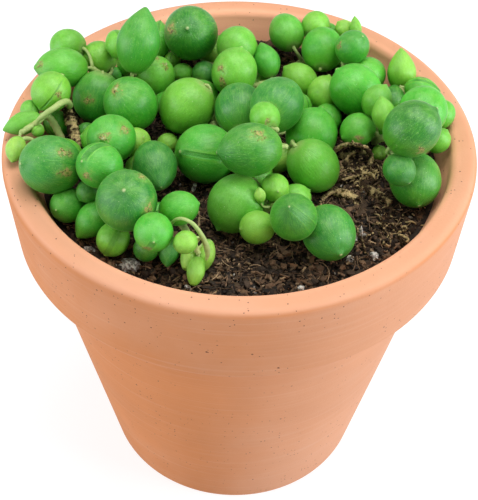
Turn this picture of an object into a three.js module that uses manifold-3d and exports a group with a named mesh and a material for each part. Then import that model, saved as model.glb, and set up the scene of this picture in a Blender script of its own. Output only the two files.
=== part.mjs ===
// A potted string of pearls: a terracotta pot, the soil in it, eighteen leafy stems with round,
// pointed leaves, and four old bare stems. Millimetres, +Z up. The origin is on the pot's axis, at
// its foot. The front of the plant looks along -Y.

import * as THREE from 'three';
import { mergeVertices } from 'three/addons/utils/BufferGeometryUtils.js';
import Module from 'manifold-3d';

const wasm = await Module();
wasm.setup();

// Driving sizes of the pot
const potHeight = 74;
const rimRadius = 41;
const rimHeight = 17;
const rimTaper = 1.1;
const neckRadius = 36.3;
const footRadius = 25.1;
const lipInnerRadius = 36.4;
const lipEdge = 1.6;
const lowerEdge = 0.9;
const edgeDraft = 0.2;
const soilWallRadius = 34.8;
const shoulderRadius = 31.8;
const floorRadius = 21.6;
const floorThickness = 5;
const drainRadius = 5.5;
const potSides = 44;
const edgeSteps = 2;

// Driving sizes of the soil
const soilLevel = 68.5;
const soilRings = 4;
const soilSides = 44;
const wallGap = 0.35;
const holeGap = 0.45;
const holeSides = 6;
const holeSpare = 2;

// Driving sizes of the plant
const stemRadius = 0.7;
const petioleRadius = 0.5;
const bareRadius = 0.6;
const footGap = 0.8;
const rootDepth = 8;
const collarHeight = 1.6;
const stemSides = 5;
const petioleSides = 3;
const stemStep = 3.3;
const leafGap = 0.3;
const stemGap = 0.45;
const pressTogether = 0.93;
const tipReach = 1.1;
const fullness = 1.03;
const smallLeaf = 6;
const shortestEdge = 0.02;
const lowRise = 20;
const pressOnStem = 0.9;
const stemSpread = 0.2;
const petioleSink = 0.8;
const largestMove = 0.3;

const rimFoot = potHeight - rimHeight;
const rimFootRadius = rimRadius - rimTaper;
const rootDepths = [rootDepth, rootDepth / 2, 0];

// A leaf's outline from foot to point, as shares of its half width and half length
const largeOutline = [[0, -1], [0.7, -0.72], [1, -0.14], [0.86, 0.5], [0.35, 0.93], [0, tipReach]];
const smallOutline = [[0, -1], [0.86, -0.45], [0.92, 0.35], [0.36, 0.93], [0, tipReach]];
const largeSides = 8;
const smallSides = 6;

// The leaves of each stem, in order from its root. A row gives the middle of a leaf, how wide and
// how long it is, which way its point heads round the pot and how steeply the point rises. A low
// leaf lies on the soil under the others: its row gives its place and width.
const leafyStems = [
  { name: 'stem_west', root: [-30.5, 0], leaves: [
    [-33.5, 5, 71, 4.6, 5, 0, -50],
    [-33, 5, 78.5, 6.6, 7, -120, -25],
    [-36.5, 3, 76, 3.2, 3.6, 95, 15],
    [-36.5, -1.5, 76.5, 3.8, 6.5, -160, -10],
    [-35, -2.5, 76.5, 2, 2.2, -130, 5],
    [-37.5, -7.5, 76, 3.4, 4.6, -100, -20],
  ], low: [[-30, -5, 6.4], [-27, 3.5, 3.4]] },
  { name: 'stem_north_west', root: [-21, 12], leaves: [
    [-26, 10, 73.5, 8.3, 9.1, -120, -60],
    [-26, 18.5, 76, 5.9, 6.3, 140, 15],
    [-31.5, 19.5, 77.5, 6, 6.6, 155, -10],
    [-31, 12.5, 77, 7.1, 9, -165, 10],
  ], low: [[-21, 22.5, 4.8], [-28, 16, 4], [-24, 20, 3.4]] },
  { name: 'stem_back_left', root: [-16.5, 11], leaves: [
    [-19, 5, 76, 9, 9.8, -145, 60],
    [-16, 17, 72.5, 7.3, 7.9, -15, 55],
    [-18.5, 14, 83, 7.4, 11, 70, 55],
    [-22, 17, 80, 4.7, 5.8, 120, 15],
    [-16, 28.5, 73, 5.3, 7.7, 85, 25],
  ], low: [[-23.5, 4.5, 3.6], [-13.5, 25.5, 3.2], [-20, 9, 3.4]] },
  { name: 'stem_back', root: [-3, 23], leaves: [
    [-7, 20.5, 71, 4.3, 4.7, 70, 5],
    [-5.5, 27, 71.5, 5, 5.4, -5, 30],
    [-4.5, 30.5, 70.5, 3.2, 3.5, 85, 25],
    [-10, 25.5, 76.5, 9.6, 10.4, -95, 45],
  ], low: [[0.5, 28, 4.6], [-11.5, 30.5, 3.4], [0, 24, 4], [-11, 21, 3.6]] },
  { name: 'stem_back_middle', root: [3, 16], leaves: [
    [-1.5, 13.5, 76, 7.9, 8.6, 60, 60],
    [0, 20, 76.5, 7, 7.5, 60, 0],
    [5.5, 19.5, 74.5, 4.8, 6.6, 110, 30],
  ], low: [[-2, 19, 5], [3.5, 19, 3.6]] },
  { name: 'stem_back_right', root: [10, 25], leaves: [
    [14.5, 23, 75, 7.5, 8.3, 85, 20],
    [8.5, 29, 75, 6.4, 7.8, 110, 10],
    [14, 30, 75.5, 5.2, 5.6, 65, 10],
    [17, 31, 74, 2.2, 3.7, 110, 10],
    [19, 29.5, 75.5, 3.4, 3.8, 155, 40],
    [21, 28, 77, 2.2, 4, 105, 60],
  ], low: [[14, 28.5, 4], [18, 27, 3.4]] },
  { name: 'stem_right_back', root: [17.5, 18.5], leaves: [
    [15, 14, 72, 5.9, 6.4, 65, 55],
    [10.5, 18, 72, 5.9, 7, 160, 35],
    [19.5, 10.5, 75, 8.7, 9.4, 155, 40],
    [23, 17.5, 74.5, 6.3, 6.8, 40, -5],
    [20, 19.5, 78.5, 5.9, 6.4, -25, 60],
  ], low: [[21, 23.5, 4.8], [15.5, 8, 5]] },
  { name: 'stem_right_rim', root: [27, 7.5], leaves: [
    [27.5, 12, 73.5, 4.3, 5.5, 80, 20],
    [29, 17, 75, 5, 7.8, 100, 60],
    [32.5, 12.5, 75, 4.3, 6.1, -15, 5],
  ], low: [[24.5, 13.5, 3.6], [30, 13, 3.4]] },
  { name: 'stem_right_middle', root: [24, 4], leaves: [
    [20, 2, 74.5, 5.6, 6.7, -140, 0],
    [23, 5, 78, 4.9, 5.9, 45, 50],
    [24.5, 1.5, 79, 4.1, 5.8, 110, 55],
  ], low: [[24, 7, 4.2], [24.5, 0.5, 2.6], [20, 6, 3.4]] },
  { name: 'stem_right_front', root: [27, -3.5], leaves: [
    [31, 1, 79, 8.1, 8.8, 70, 20],
    [35, 5, 75.5, 4.9, 5.3, 40, 15],
    [34.5, -0.5, 74.5, 4.2, 4.5, 30, 45],
    [28, -8.5, 83.5, 8.7, 9.5, 20, 40],
    [26.5, -12, 78, 5.1, 5.6, -60, -10],
    [29.5, -9.5, 73, 8.5, 9.3, -85, -15],
  ], low: [[29.5, 4.5, 6]] },
  { name: 'stem_centre', root: [2.5, 3], leaves: [
    [0, 5, 76.5, 8.5, 9.3, 95, 15],
    [10.5, 10.5, 72, 5, 5.4, 70, 60],
    [6, 0.5, 79.5, 8.7, 9.8, 60, 15],
    [4, -5.5, 82, 4.9, 5.3, 115, 5],
  ], low: [[4, 10.5, 6.2], [2, -1, 4.6]] },
  { name: 'stem_centre_right', root: [9.5, -2], leaves: [
    [12.5, 1.5, 74, 8.6, 9.4, 55, 55],
    [12.5, -6.5, 73, 8.3, 9.4, -20, -45],
    [7, -3, 71.5, 4.5, 5.5, -145, -45],
  ], low: [] },
  { name: 'stem_centre_left', root: [-4, 3.5], leaves: [
    [-7, 12, 71.5, 5.8, 6.3, 40, -10],
    [-10, 6.5, 74.5, 9.1, 10, -155, -45],
    [-5, 7.5, 70.5, 3.5, 3.8, 90, 0],
    [-6, -5, 73.5, 9.7, 10.7, -145, 30],
    [2, -11.5, 81, 8.5, 10.2, -165, 5],
  ], low: [[-1.5, 10.5, 4.2], [-13.5, 11.5, 4.2]] },
  { name: 'stem_left_middle', root: [-15, 0.5], leaves: [
    [-18, -2, 74, 5, 5.5, -40, 50],
    [-21.5, -6, 77.5, 8, 8.7, -105, 40],
    [-14, -10, 75.5, 7.3, 9.5, -75, 0],
  ], low: [[-24, -0.5, 6.2], [-13, -4.5, 4.6], [-17.5, -6, 4.2], [-12.5, 2, 3.4]] },
  { name: 'stem_left_front', root: [-25.5, -8.5], leaves: [
    [-24.5, -16, 75, 3.6, 4, -130, -20],
    [-22.5, -15, 79.5, 7.1, 7.7, -140, 40],
    [-31, -12.5, 77, 9.4, 10.3, -150, 25],
    [-28.5, -16.5, 71.5, 5.6, 6.2, -120, 25],
    [-24, -18.5, 71.5, 5.3, 7.2, -130, -20],
  ], low: [[-20, -10.5, 5.6], [-23.5, -6, 4.2]] },
  { name: 'stem_front_left', root: [-17, -17], leaves: [
    [-20, -23.5, 71.5, 5.2, 5.6, -115, -25],
    [-17.5, -22, 79, 9.4, 10.3, -90, 60],
    [-14.5, -25, 71, 4, 4.4, 160, -60],
    [-13, -28, 78, 5.9, 6.4, -85, 20],
    [-11, -25, 70.5, 3.5, 5, -95, -20],
  ], low: [[-13.5, -16.5, 3.4]] },
  { name: 'stem_new_growth', root: [-11, -13], leaves: [
    [-9.5, -22.5, 78, 5.4, 6.3, 0, 20],
    [-8, -29.5, 77.5, 2.9, 3.1, -150, -5],
    [-7.5, -26, 70.5, 2.4, 4.2, -105, -15],
    [-5, -26, 71, 2.4, 4.4, -110, -55],
    [-6.5, -29, 70.5, 2.3, 4, -100, -30],
  ], low: [] },
  { name: 'stem_front', root: [4, -16], leaves: [
    [0, -16, 73, 8.8, 9.8, -125, -25],
    [3.5, -17.5, 76.5, 1.9, 2.6, 115, 70],
    [6, -14.5, 75.5, 4.5, 4.9, -80, 30],
    [3, -21.5, 73.5, 5.3, 5.8, -155, 15],
    [9, -24.5, 78.5, 7.2, 9.8, -110, 60],
    [14.5, -22.5, 73, 8.4, 9.4, -70, 0],
  ], low: [[2.5, -7.5, 6.2], [9.5, -13, 5], [9, -19, 4.2]] },
];

// Old bare stems, by points chosen along each from its root to its free end
const bareStems = [
  { name: 'bare_stem_left', route: [
    [-27.5, -2.5, 70], [-28.5, -0.5, 70.5], [-29.5, 1.5, 71.5], [-30.3, 3.5, 73], [-30.1, 5.8, 74.5], [-31.4, 6.1, 75],
  ] },
  { name: 'bare_stem_arch', route: [
    [16.7, 1.5, 69.8], [17.7, 1.8, 71], [20.3, 2.4, 71.2], [22, 1.4, 71.2], [21.6, 0, 70.8], [20.2, -1, 70],
    [21.3, -3.8, 69.8], [19.2, -5.7, 69.6],
  ] },
  { name: 'bare_stem_front', route: [[15.6, -8.6, 69.8], [18.2, -8.8, 70], [19.3, -10, 70], [20.7, -10.7, 69.8]] },
  { name: 'bare_stem_right', route: [[20.5, -7, 69.8], [22.5, -7.2, 70], [24.6, -8.5, 70], [26.2, -11, 69.8]] },
];

// Pale grains that stand up out of the soil: place and size
const grains = [
  [-24, -23, 1.1], [-17.3, -26.6, 1.7], [-7.6, -30.7, 0.8], [19.3, -18.8, 1], [18.4, -23.8, 0.8], [22.4, -23.2, 1],
  [10.3, -30.5, 0.8], [-12.2, 9.5, 0.9], [22.1, -5, 0.7], [3.8, 25.5, 1.2],
];

const down = new THREE.Vector3(0, 0, -1);
const up = new THREE.Vector3(0, 1, 0);

// Height of the soil's gently uneven surface
function soilTop(x, y) {
  const broad = 0.35 * Math.sin(0.23 * x + 0.8) * Math.cos(0.19 * y);
  const fine = 0.12 * Math.sin(0.32 * x - 0.25 * y + 1);
  return soilLevel + broad + fine;
}

// Radius of the pot's inner wall between the soil and the lip
function wallRadius(z) {
  const share = Math.min(1, (z - soilLevel) / (potHeight - lipEdge - soilLevel));
  return soilWallRadius + share * (lipInnerRadius - soilWallRadius);
}

function leafFrom([x, y, z, width, length, heading, rise], stem) {
  const turn = THREE.MathUtils.degToRad(heading);
  const climb = THREE.MathUtils.degToRad(rise);
  const axis = new THREE.Vector3(Math.cos(turn) * Math.cos(climb), Math.sin(turn) * Math.cos(climb), Math.sin(climb));
  const [across, along] = [(fullness * width) / 2, (fullness * length) / 2];
  return { stem, centre: new THREE.Vector3(x, y, z), axis, across, along };
}

// A low leaf points away from its stem's root
function lowLeafFrom([x, y, width], stem) {
  const heading = THREE.MathUtils.radToDeg(Math.atan2(y - stem.root[1], x - stem.root[0]));
  const z = soilTop(x, y) + stemGap + (fullness * width) / 2;
  return { ...leafFrom([x, y, z, width, 1.1 * width, heading, lowRise], stem), low: true };
}

// How far a leaf reaches from its middle in one direction
function reach(leaf, direction) {
  const share = leaf.axis.dot(direction);
  const round = Math.hypot(leaf.across * Math.sqrt(Math.max(0, 1 - share * share)), leaf.along * share);
  return Math.max(round, tipReach * leaf.along * share);
}

// Keeps what has its middle here over the soil, inside the pot's wall and clear of the lip
function keepInPot(centre, reachOf, gap) {
  centre.z = Math.max(centre.z, soilTop(centre.x, centre.y) + gap + reachOf(down));
  const radius = Math.hypot(centre.x, centre.y);
  if (radius > lipInnerRadius) {
    const overLip = potHeight + gap + reachOf(down);
    if (centre.z < overLip) centre.z = Math.min(overLip, centre.z + largestMove);
    return;
  }
  const outward = new THREE.Vector3(centre.x / radius, centre.y / radius, 0);
  const toLip = outward.clone().multiplyScalar(lipInnerRadius - edgeDraft - radius);
  toLip.z = Math.min(0, potHeight - 1 - centre.z);
  const distance = Math.max(toLip.length(), 1e-6);
  toLip.divideScalar(distance);
  const short = reachOf(toLip) + gap - distance;
  if (short > 0) centre.addScaledVector(toLip, -Math.min(largestMove, short));
  const past = radius + reachOf(outward) + gap - wallRadius(centre.z);
  if (centre.z < potHeight && past > 0) centre.addScaledVector(outward, -past);
}

// Pushes crowded leaves apart: those of one stem press together a little, the others stay clear
function settle(leaves) {
  const between = new THREE.Vector3();
  const back = new THREE.Vector3();
  for (let pass = 0; pass < 120; pass += 1) {
    for (let i = 0; i < leaves.length; i += 1) {
      for (let j = i + 1; j < leaves.length; j += 1) {
        const [one, other] = [leaves[i], leaves[j]];
        between.subVectors(other.centre, one.centre);
        const distance = between.length();
        between.divideScalar(distance);
        const touching = reach(one, between) + reach(other, back.copy(between).negate());
        const need = one.stem === other.stem ? touching * pressTogether : touching + leafGap;
        if (distance >= need) continue;
        one.centre.addScaledVector(between, (distance - need) / 2);
        other.centre.addScaledVector(between, (need - distance) / 2);
      }
    }
    for (const leaf of leaves) keepInPot(leaf.centre, (direction) => reach(leaf, direction), stemGap);
  }
}

// Bends a stem clear of the leaves of others and of the stems laid before it. It may lie against
// its own leaves. The first point stays over the root.
function bendClear(route, stem, radius, leaves, laid) {
  const middle = new THREE.Vector3();
  const away = new THREE.Vector3();
  const passes = 80;
  for (let pass = 0; pass < passes; pass += 1) {
    const smoothing = pass < 0.75 * passes ? 0.3 : 0.05;
    for (let i = 1; i < route.length; i += 1) {
      const point = route[i];
      if (i < route.length - 1) point.lerp(middle.addVectors(route[i - 1], route[i + 1]).multiplyScalar(0.5), smoothing);
      for (const leaf of leaves) {
        away.subVectors(point, leaf.centre);
        const distance = Math.max(away.length(), 1e-6);
        away.divideScalar(distance);
        const need = leaf.stem === stem ? pressOnStem * reach(leaf, away) : reach(leaf, away) + radius + stemGap;
        if (distance < need) point.addScaledVector(away, need - distance);
      }
      for (const other of laid) {
        const distance = away.subVectors(point, other).length();
        const need = radius + stemRadius + stemGap + stemSpread;
        if (distance < need) point.addScaledVector(away, (need - distance) / distance);
      }
      keepInPot(point, () => radius, stemGap);
    }
  }
}

function evenSteps(knots, step) {
  const curve = new THREE.CatmullRomCurve3(knots, false, 'centripetal');
  return curve.getSpacedPoints(Math.ceil(curve.getLength() / step));
}

// A straight root in its hole, under the first point of a stem
function withRoot(route) {
  const [x, y] = [route[0].x, route[0].y];
  const top = soilTop(x, y);
  return [...rootDepths.map((depth) => new THREE.Vector3(x, y, top - depth)), ...route];
}

// The way a leafy stem takes past the feet of its leaves
function leafyRoute(stem, leaves, laid) {
  const [x, y] = stem.root;
  const own = leaves.filter((leaf) => leaf.stem === stem && !leaf.low);
  const feet = own.map((leaf) => leaf.centre.clone().addScaledVector(leaf.axis, -leaf.along - footGap));
  const route = evenSteps([new THREE.Vector3(x, y, soilTop(x, y) + collarHeight), ...feet], stemStep);
  bendClear(route, stem, stemRadius, leaves, laid);
  return withRoot(route);
}

function solidFrom(geometry) {
  const bare = geometry.clone();
  bare.deleteAttribute('normal');
  bare.deleteAttribute('uv');
  const merged = mergeVertices(bare, 1e-4);
  const vertProperties = Float32Array.from(merged.attributes.position.array);
  const triVerts = Uint32Array.from(merged.index.array);
  return new wasm.Manifold(new wasm.Mesh({ numProp: 3, vertProperties, triVerts }));
}

function geometryFrom(solid) {
  const mesh = solid.simplify(shortestEdge).getMesh();
  const geometry = new THREE.BufferGeometry();
  geometry.setAttribute('position', new THREE.BufferAttribute(Float32Array.from(mesh.vertProperties), 3));
  geometry.setIndex(new THREE.BufferAttribute(Uint32Array.from(mesh.triVerts), 1));
  geometry.computeVertexNormals();
  return geometry;
}

// A round leaf that draws out to a short point
function leafGeometry(leaf) {
  const small = 2 * leaf.across < smallLeaf;
  const outline = small ? smallOutline : largeOutline;
  const points = outline.map(([r, h]) => new THREE.Vector2(r * leaf.across, h * leaf.along));
  const geometry = new THREE.LatheGeometry(points, small ? smallSides : largeSides);
  const turn = new THREE.Quaternion().setFromUnitVectors(up, leaf.axis);
  return geometry.applyQuaternion(turn).translate(...leaf.centre.toArray());
}

function tubeGeometry(route, radius) {
  const corners = Array.from({ length: stemSides }, (_, i) => {
    const angle = (i / stemSides) * 2 * Math.PI;
    return new THREE.Vector2(radius * Math.cos(angle), radius * Math.sin(angle));
  });
  const extrudePath = new THREE.CatmullRomCurve3(route, false, 'centripetal');
  const settings = { steps: route.length - 1, bevelEnabled: false, extrudePath };
  return new THREE.ExtrudeGeometry(new THREE.Shape(corners), settings);
}

// The short stalk from the nearest place on the stem into the foot of a leaf
function petioleGeometry(leaf, route) {
  const foot = leaf.centre.clone().addScaledVector(leaf.axis, -petioleSink * leaf.along);
  const aboveSoil = route.slice(rootDepths.length + 1);
  const nearer = (best, point) => (point.distanceTo(foot) < best.distanceTo(foot) ? point : best);
  const start = aboveSoil.reduce(nearer);
  const stalk = foot.clone().sub(start);
  const length = stalk.length();
  const geometry = new THREE.CylinderGeometry(petioleRadius, petioleRadius, length, petioleSides);
  const turn = new THREE.Quaternion().setFromUnitVectors(up, stalk.divideScalar(length));
  return geometry.applyQuaternion(turn).translate(...start.clone().add(foot).multiplyScalar(0.5).toArray());
}

function leafyStemGeometry(stem, route, leaves) {
  let solid = solidFrom(tubeGeometry(route, stemRadius));
  for (const leaf of leaves.filter((one) => one.stem === stem)) {
    solid = solid.add(solidFrom(leafGeometry(leaf)));
    solid = solid.add(solidFrom(petioleGeometry(leaf, route)));
  }
  return geometryFrom(solid);
}

// The pot's wall, rim and floor in one turned outline round the drain hole
function potGeometry() {
  const outline = new THREE.Path();
  outline.moveTo(drainRadius, 0);
  outline.lineTo(footRadius - lowerEdge, 0);
  outline.quadraticCurveTo(footRadius, 0, footRadius + edgeDraft, lowerEdge);
  outline.lineTo(neckRadius, rimFoot);
  outline.lineTo(rimFootRadius - lowerEdge, rimFoot);
  outline.quadraticCurveTo(rimFootRadius, rimFoot, rimFootRadius, rimFoot + lowerEdge);
  outline.lineTo(rimRadius, potHeight - lipEdge);
  outline.quadraticCurveTo(rimRadius, potHeight, rimRadius - lipEdge, potHeight);
  outline.lineTo(lipInnerRadius + lipEdge, potHeight);
  outline.quadraticCurveTo(lipInnerRadius + edgeDraft, potHeight, lipInnerRadius, potHeight - lipEdge);
  outline.lineTo(soilWallRadius, soilLevel);
  outline.lineTo(shoulderRadius, rimFoot);
  outline.lineTo(floorRadius, floorThickness);
  outline.lineTo(drainRadius, floorThickness);
  outline.lineTo(drainRadius, 0);
  return new THREE.LatheGeometry(outline.getPoints(edgeSteps), potSides).rotateX(Math.PI / 2);
}

// The soil fills the pot, has a plain hole for each root, and holds the pale grains
function soilGeometry(roots) {
  const points = [
    new THREE.Vector2(0, floorThickness + wallGap),
    new THREE.Vector2(floorRadius - wallGap, floorThickness + wallGap),
    new THREE.Vector2(shoulderRadius - wallGap, rimFoot),
  ];
  for (let ring = soilRings; ring >= 0; ring -= 1) {
    points.push(new THREE.Vector2(((soilWallRadius - wallGap) * ring) / soilRings, soilLevel));
  }
  const geometry = new THREE.LatheGeometry(points, soilSides).rotateX(Math.PI / 2);
  const corners = geometry.attributes.position;
  for (let i = 0; i < corners.count; i += 1) {
    const onTop = Math.abs(corners.getZ(i) - soilLevel) < 1e-3;
    if (onTop) corners.setZ(i, soilTop(corners.getX(i), corners.getY(i)));
  }
  let soil = solidFrom(geometry);
  for (const [x, y, size] of grains) {
    soil = soil.add(solidFrom(new THREE.IcosahedronGeometry(size).translate(x, y, soilTop(x, y))));
  }
  const length = rootDepth + 2 * holeSpare;
  for (const { x, y, radius } of roots) {
    const hole = new THREE.CylinderGeometry(radius + holeGap, radius + holeGap, length, holeSides);
    hole.rotateX(Math.PI / 2).translate(x, y, soilTop(x, y) + holeSpare - length / 2);
    soil = soil.subtract(solidFrom(hole));
  }
  return geometryFrom(soil);
}

const terracotta = new THREE.MeshStandardMaterial({ color: 0xd9926b, roughness: 0.85, metalness: 0 });
const earth = new THREE.MeshStandardMaterial({ color: 0x4a3628, roughness: 0.95, metalness: 0 });
const leafGreen = new THREE.MeshStandardMaterial({ color: 0x3f9a2f, roughness: 0.4, metalness: 0 });
const dryTan = new THREE.MeshStandardMaterial({ color: 0xb08a5a, roughness: 0.9, metalness: 0 });

const plant = new THREE.Group();

function addPiece(name, geometry, material) {
  const piece = new THREE.Mesh(geometry, material.clone());
  piece.name = name;
  plant.add(piece);
}

const leaves = leafyStems.flatMap((stem) => [
  ...stem.leaves.map((row) => leafFrom(row, stem)),
  ...stem.low.map((row) => lowLeafFrom(row, stem)),
]);
settle(leaves);

const laid = [];
const roots = [];
for (const stem of leafyStems) {
  const route = leafyRoute(stem, leaves, laid);
  laid.push(...route);
  roots.push({ x: route[0].x, y: route[0].y, radius: stemRadius });
  addPiece(stem.name, leafyStemGeometry(stem, route, leaves), leafGreen);
}
for (const stem of bareStems) {
  const chosen = evenSteps(stem.route.map((point) => new THREE.Vector3(...point)), stemStep / 2);
  bendClear(chosen, stem, bareRadius, leaves, laid);
  const route = withRoot(chosen);
  laid.push(...route);
  roots.push({ x: route[0].x, y: route[0].y, radius: bareRadius });
  addPiece(stem.name, tubeGeometry(route, bareRadius), dryTan);
}
addPiece('pot', potGeometry(), terracotta);
addPiece('soil', soilGeometry(roots), earth);

export default plant;
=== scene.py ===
"""A potted string of pearls: round, pointed succulent leaves on thin stems in a terracotta pot.

Lengths that follow the plant's rules are in millimetres; they turn into metres where a mesh is made.
"""

import math

import bpy
import numpy as np
from bpy.props import FloatProperty, FloatVectorProperty, IntProperty, PointerProperty
from mathutils import Matrix, Vector, noise


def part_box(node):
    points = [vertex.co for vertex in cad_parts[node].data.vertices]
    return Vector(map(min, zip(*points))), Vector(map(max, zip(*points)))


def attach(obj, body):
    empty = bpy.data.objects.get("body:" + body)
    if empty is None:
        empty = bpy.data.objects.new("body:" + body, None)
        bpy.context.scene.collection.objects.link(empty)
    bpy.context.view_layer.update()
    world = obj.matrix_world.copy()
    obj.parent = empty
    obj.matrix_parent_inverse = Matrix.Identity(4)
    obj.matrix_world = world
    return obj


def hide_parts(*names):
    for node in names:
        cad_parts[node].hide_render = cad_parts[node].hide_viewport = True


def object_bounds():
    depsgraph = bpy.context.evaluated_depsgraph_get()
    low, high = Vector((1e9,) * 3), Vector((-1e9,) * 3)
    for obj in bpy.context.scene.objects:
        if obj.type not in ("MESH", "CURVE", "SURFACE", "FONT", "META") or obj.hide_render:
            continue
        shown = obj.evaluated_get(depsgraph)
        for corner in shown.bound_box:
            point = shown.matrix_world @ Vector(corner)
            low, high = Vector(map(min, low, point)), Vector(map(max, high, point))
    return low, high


bl_info = {
    "name": "Potted String of Pearls",
    "version": (1, 0, 0),
    "blender": (4, 5, 0),
    "location": "View3D > Sidebar > Pearls",
    "description": "Builds a small trailing succulent in a terracotta pot",
    "category": "Add Mesh",
}

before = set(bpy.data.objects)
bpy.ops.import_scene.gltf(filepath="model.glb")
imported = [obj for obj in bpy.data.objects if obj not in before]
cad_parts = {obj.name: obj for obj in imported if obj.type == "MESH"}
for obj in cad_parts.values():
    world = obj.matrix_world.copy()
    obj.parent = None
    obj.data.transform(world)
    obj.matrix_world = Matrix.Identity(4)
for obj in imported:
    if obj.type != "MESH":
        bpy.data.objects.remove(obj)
cad_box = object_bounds()
pot_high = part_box("pot")[1]

MM = 0.001

# Sizes of the pot, in millimetres
POT_HEIGHT = pot_high[2] / MM
RIM_RADIUS = pot_high[0] / MM
RIM_HEIGHT = 17
RIM_TAPER = 1.1
NECK_RADIUS = 36.3
FOOT_RADIUS = 25.1
LIP_INNER_RADIUS = 36.4
LIP_EDGE = 1.6
LOWER_EDGE = 0.9
EDGE_DRAFT = 0.2
SOIL_WALL_RADIUS = 34.8
SHOULDER_RADIUS = 31.8
FLOOR_RADIUS = 21.6
FLOOR_THICKNESS = 5
DRAIN_RADIUS = 5.5
SOIL_LEVEL = 68.5
RIM_FOOT = POT_HEIGHT - RIM_HEIGHT
RIM_FOOT_RADIUS = RIM_RADIUS - RIM_TAPER

# Sizes of the plant, in millimetres
STEM_RADIUS = 0.7
PETIOLE_RADIUS = 0.5
BARE_RADIUS = 0.6
FOOT_GAP = 0.8
ROOT_DEPTH = 8
COLLAR_HEIGHT = 1.6
STEM_STEP = 3.3
LEAF_GAP = 0.3
STEM_GAP = 0.45
PRESS_TOGETHER = 0.93
TIP_REACH = 1.1
FULLNESS = 1.03
LOW_RISE = 20
LOW_LENGTH = 1.1

# How leaves and stems are pushed clear of each other: passes, shares and lengths in millimetres
SETTLE_PASSES = 120
LEAF_SEARCH = 12
BEND_PASSES = 80
SMOOTH_SHARE = 0.75
BEND_LEAF_SEARCH = 9
BEND_STEM_SEARCH = 4
PRESS_ON_STEM = 0.9
STEM_SPREAD = 0.2
LARGEST_MOVE = 0.3
LIP_CLEARANCE = 1

# How finely the shapes are drawn
POT_SIDES = 288
BED_SIDES = 300
BED_RINGS = 110
STEM_SIDES = 10
STALK_SIDES = 8
ROOTLET_SIDES = 5
ROOTLET_STEPS = 9
LARGE_LEAF = 2.2
LARGE_LEAF_GRID = (44, 32)
SMALL_LEAF_GRID = (28, 22)

# How the old stems and their roots look beside the solids, and where crust clings
BARE_GIRTH = {"bare_stem_left": 1.9}
USUAL_GIRTH = 1.35
DRY_ROOT_GIRTH = 0.72
STEM_CRUST = 0.35
ROOT_CRUST = 0.1

# Shares of the leaves that have a window and a scar of their own, and where no scar is felt
WINDOW_SHARE = 0.45
SCARRED_SHARE = 0.35
FAR_AWAY = Vector((9, 9, 9))

# Starts of the random draws for the soil, and about a whole turn for random spins
BITS_SEED = 11
FIBRES_SEED = 17
GRAINS_SEED = 5
WHOLE_TURN = 6.28

# Colours of small marks, worn places, loose pieces and lamps, and of painted light and shade
# Painted highlight: the paler clay of faces that look up
PAINTED_TOP_LIGHT_CLAY = (0.92, 0.54, 0.38)
PORE = (0.08, 0.06, 0.045)
BUD_GREEN = (0.50, 0.83, 0.13)
WARM_GREEN = (0.13, 0.46, 0.02)
FOOT_GREEN = (0.2, 0.5, 0.03)
STREAK_GREEN = (0.15, 0.52, 0.04)
DOT_GREEN = (0.62, 0.78, 0.44)
FLECK_GREEN = (0.45, 0.66, 0.25)
SCAR_HALO = (0.36, 0.58, 0.10)
SCAR_PIT = (0.09, 0.045, 0.012)
TIP_TAN = (0.62, 0.70, 0.32)
# Painted light on the leaves: sheen on top mixed with the wax bloom, shade underneath, light at the edges
WAX_AND_PAINTED_SHEEN = (0.42, 0.72, 0.22)
PAINTED_UNDERSIDE_SHADE = (0.032, 0.22, 0.010)
PAINTED_RIM_LIGHT_GREEN = (0.34, 0.68, 0.16)
REDDISH = (0.05, 0.012, 0)
SLIVER_WHITE = (0.95, 0.93, 0.9)
GRAIN_TINT = (1, 0.97, 0.92)
SMALL_GRAIN_TINT = (1, 0.93, 0.84)
SIDE_LIGHT = (0.96, 1.0, 1.06)
WHITE = (1, 1, 1, 1)
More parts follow.
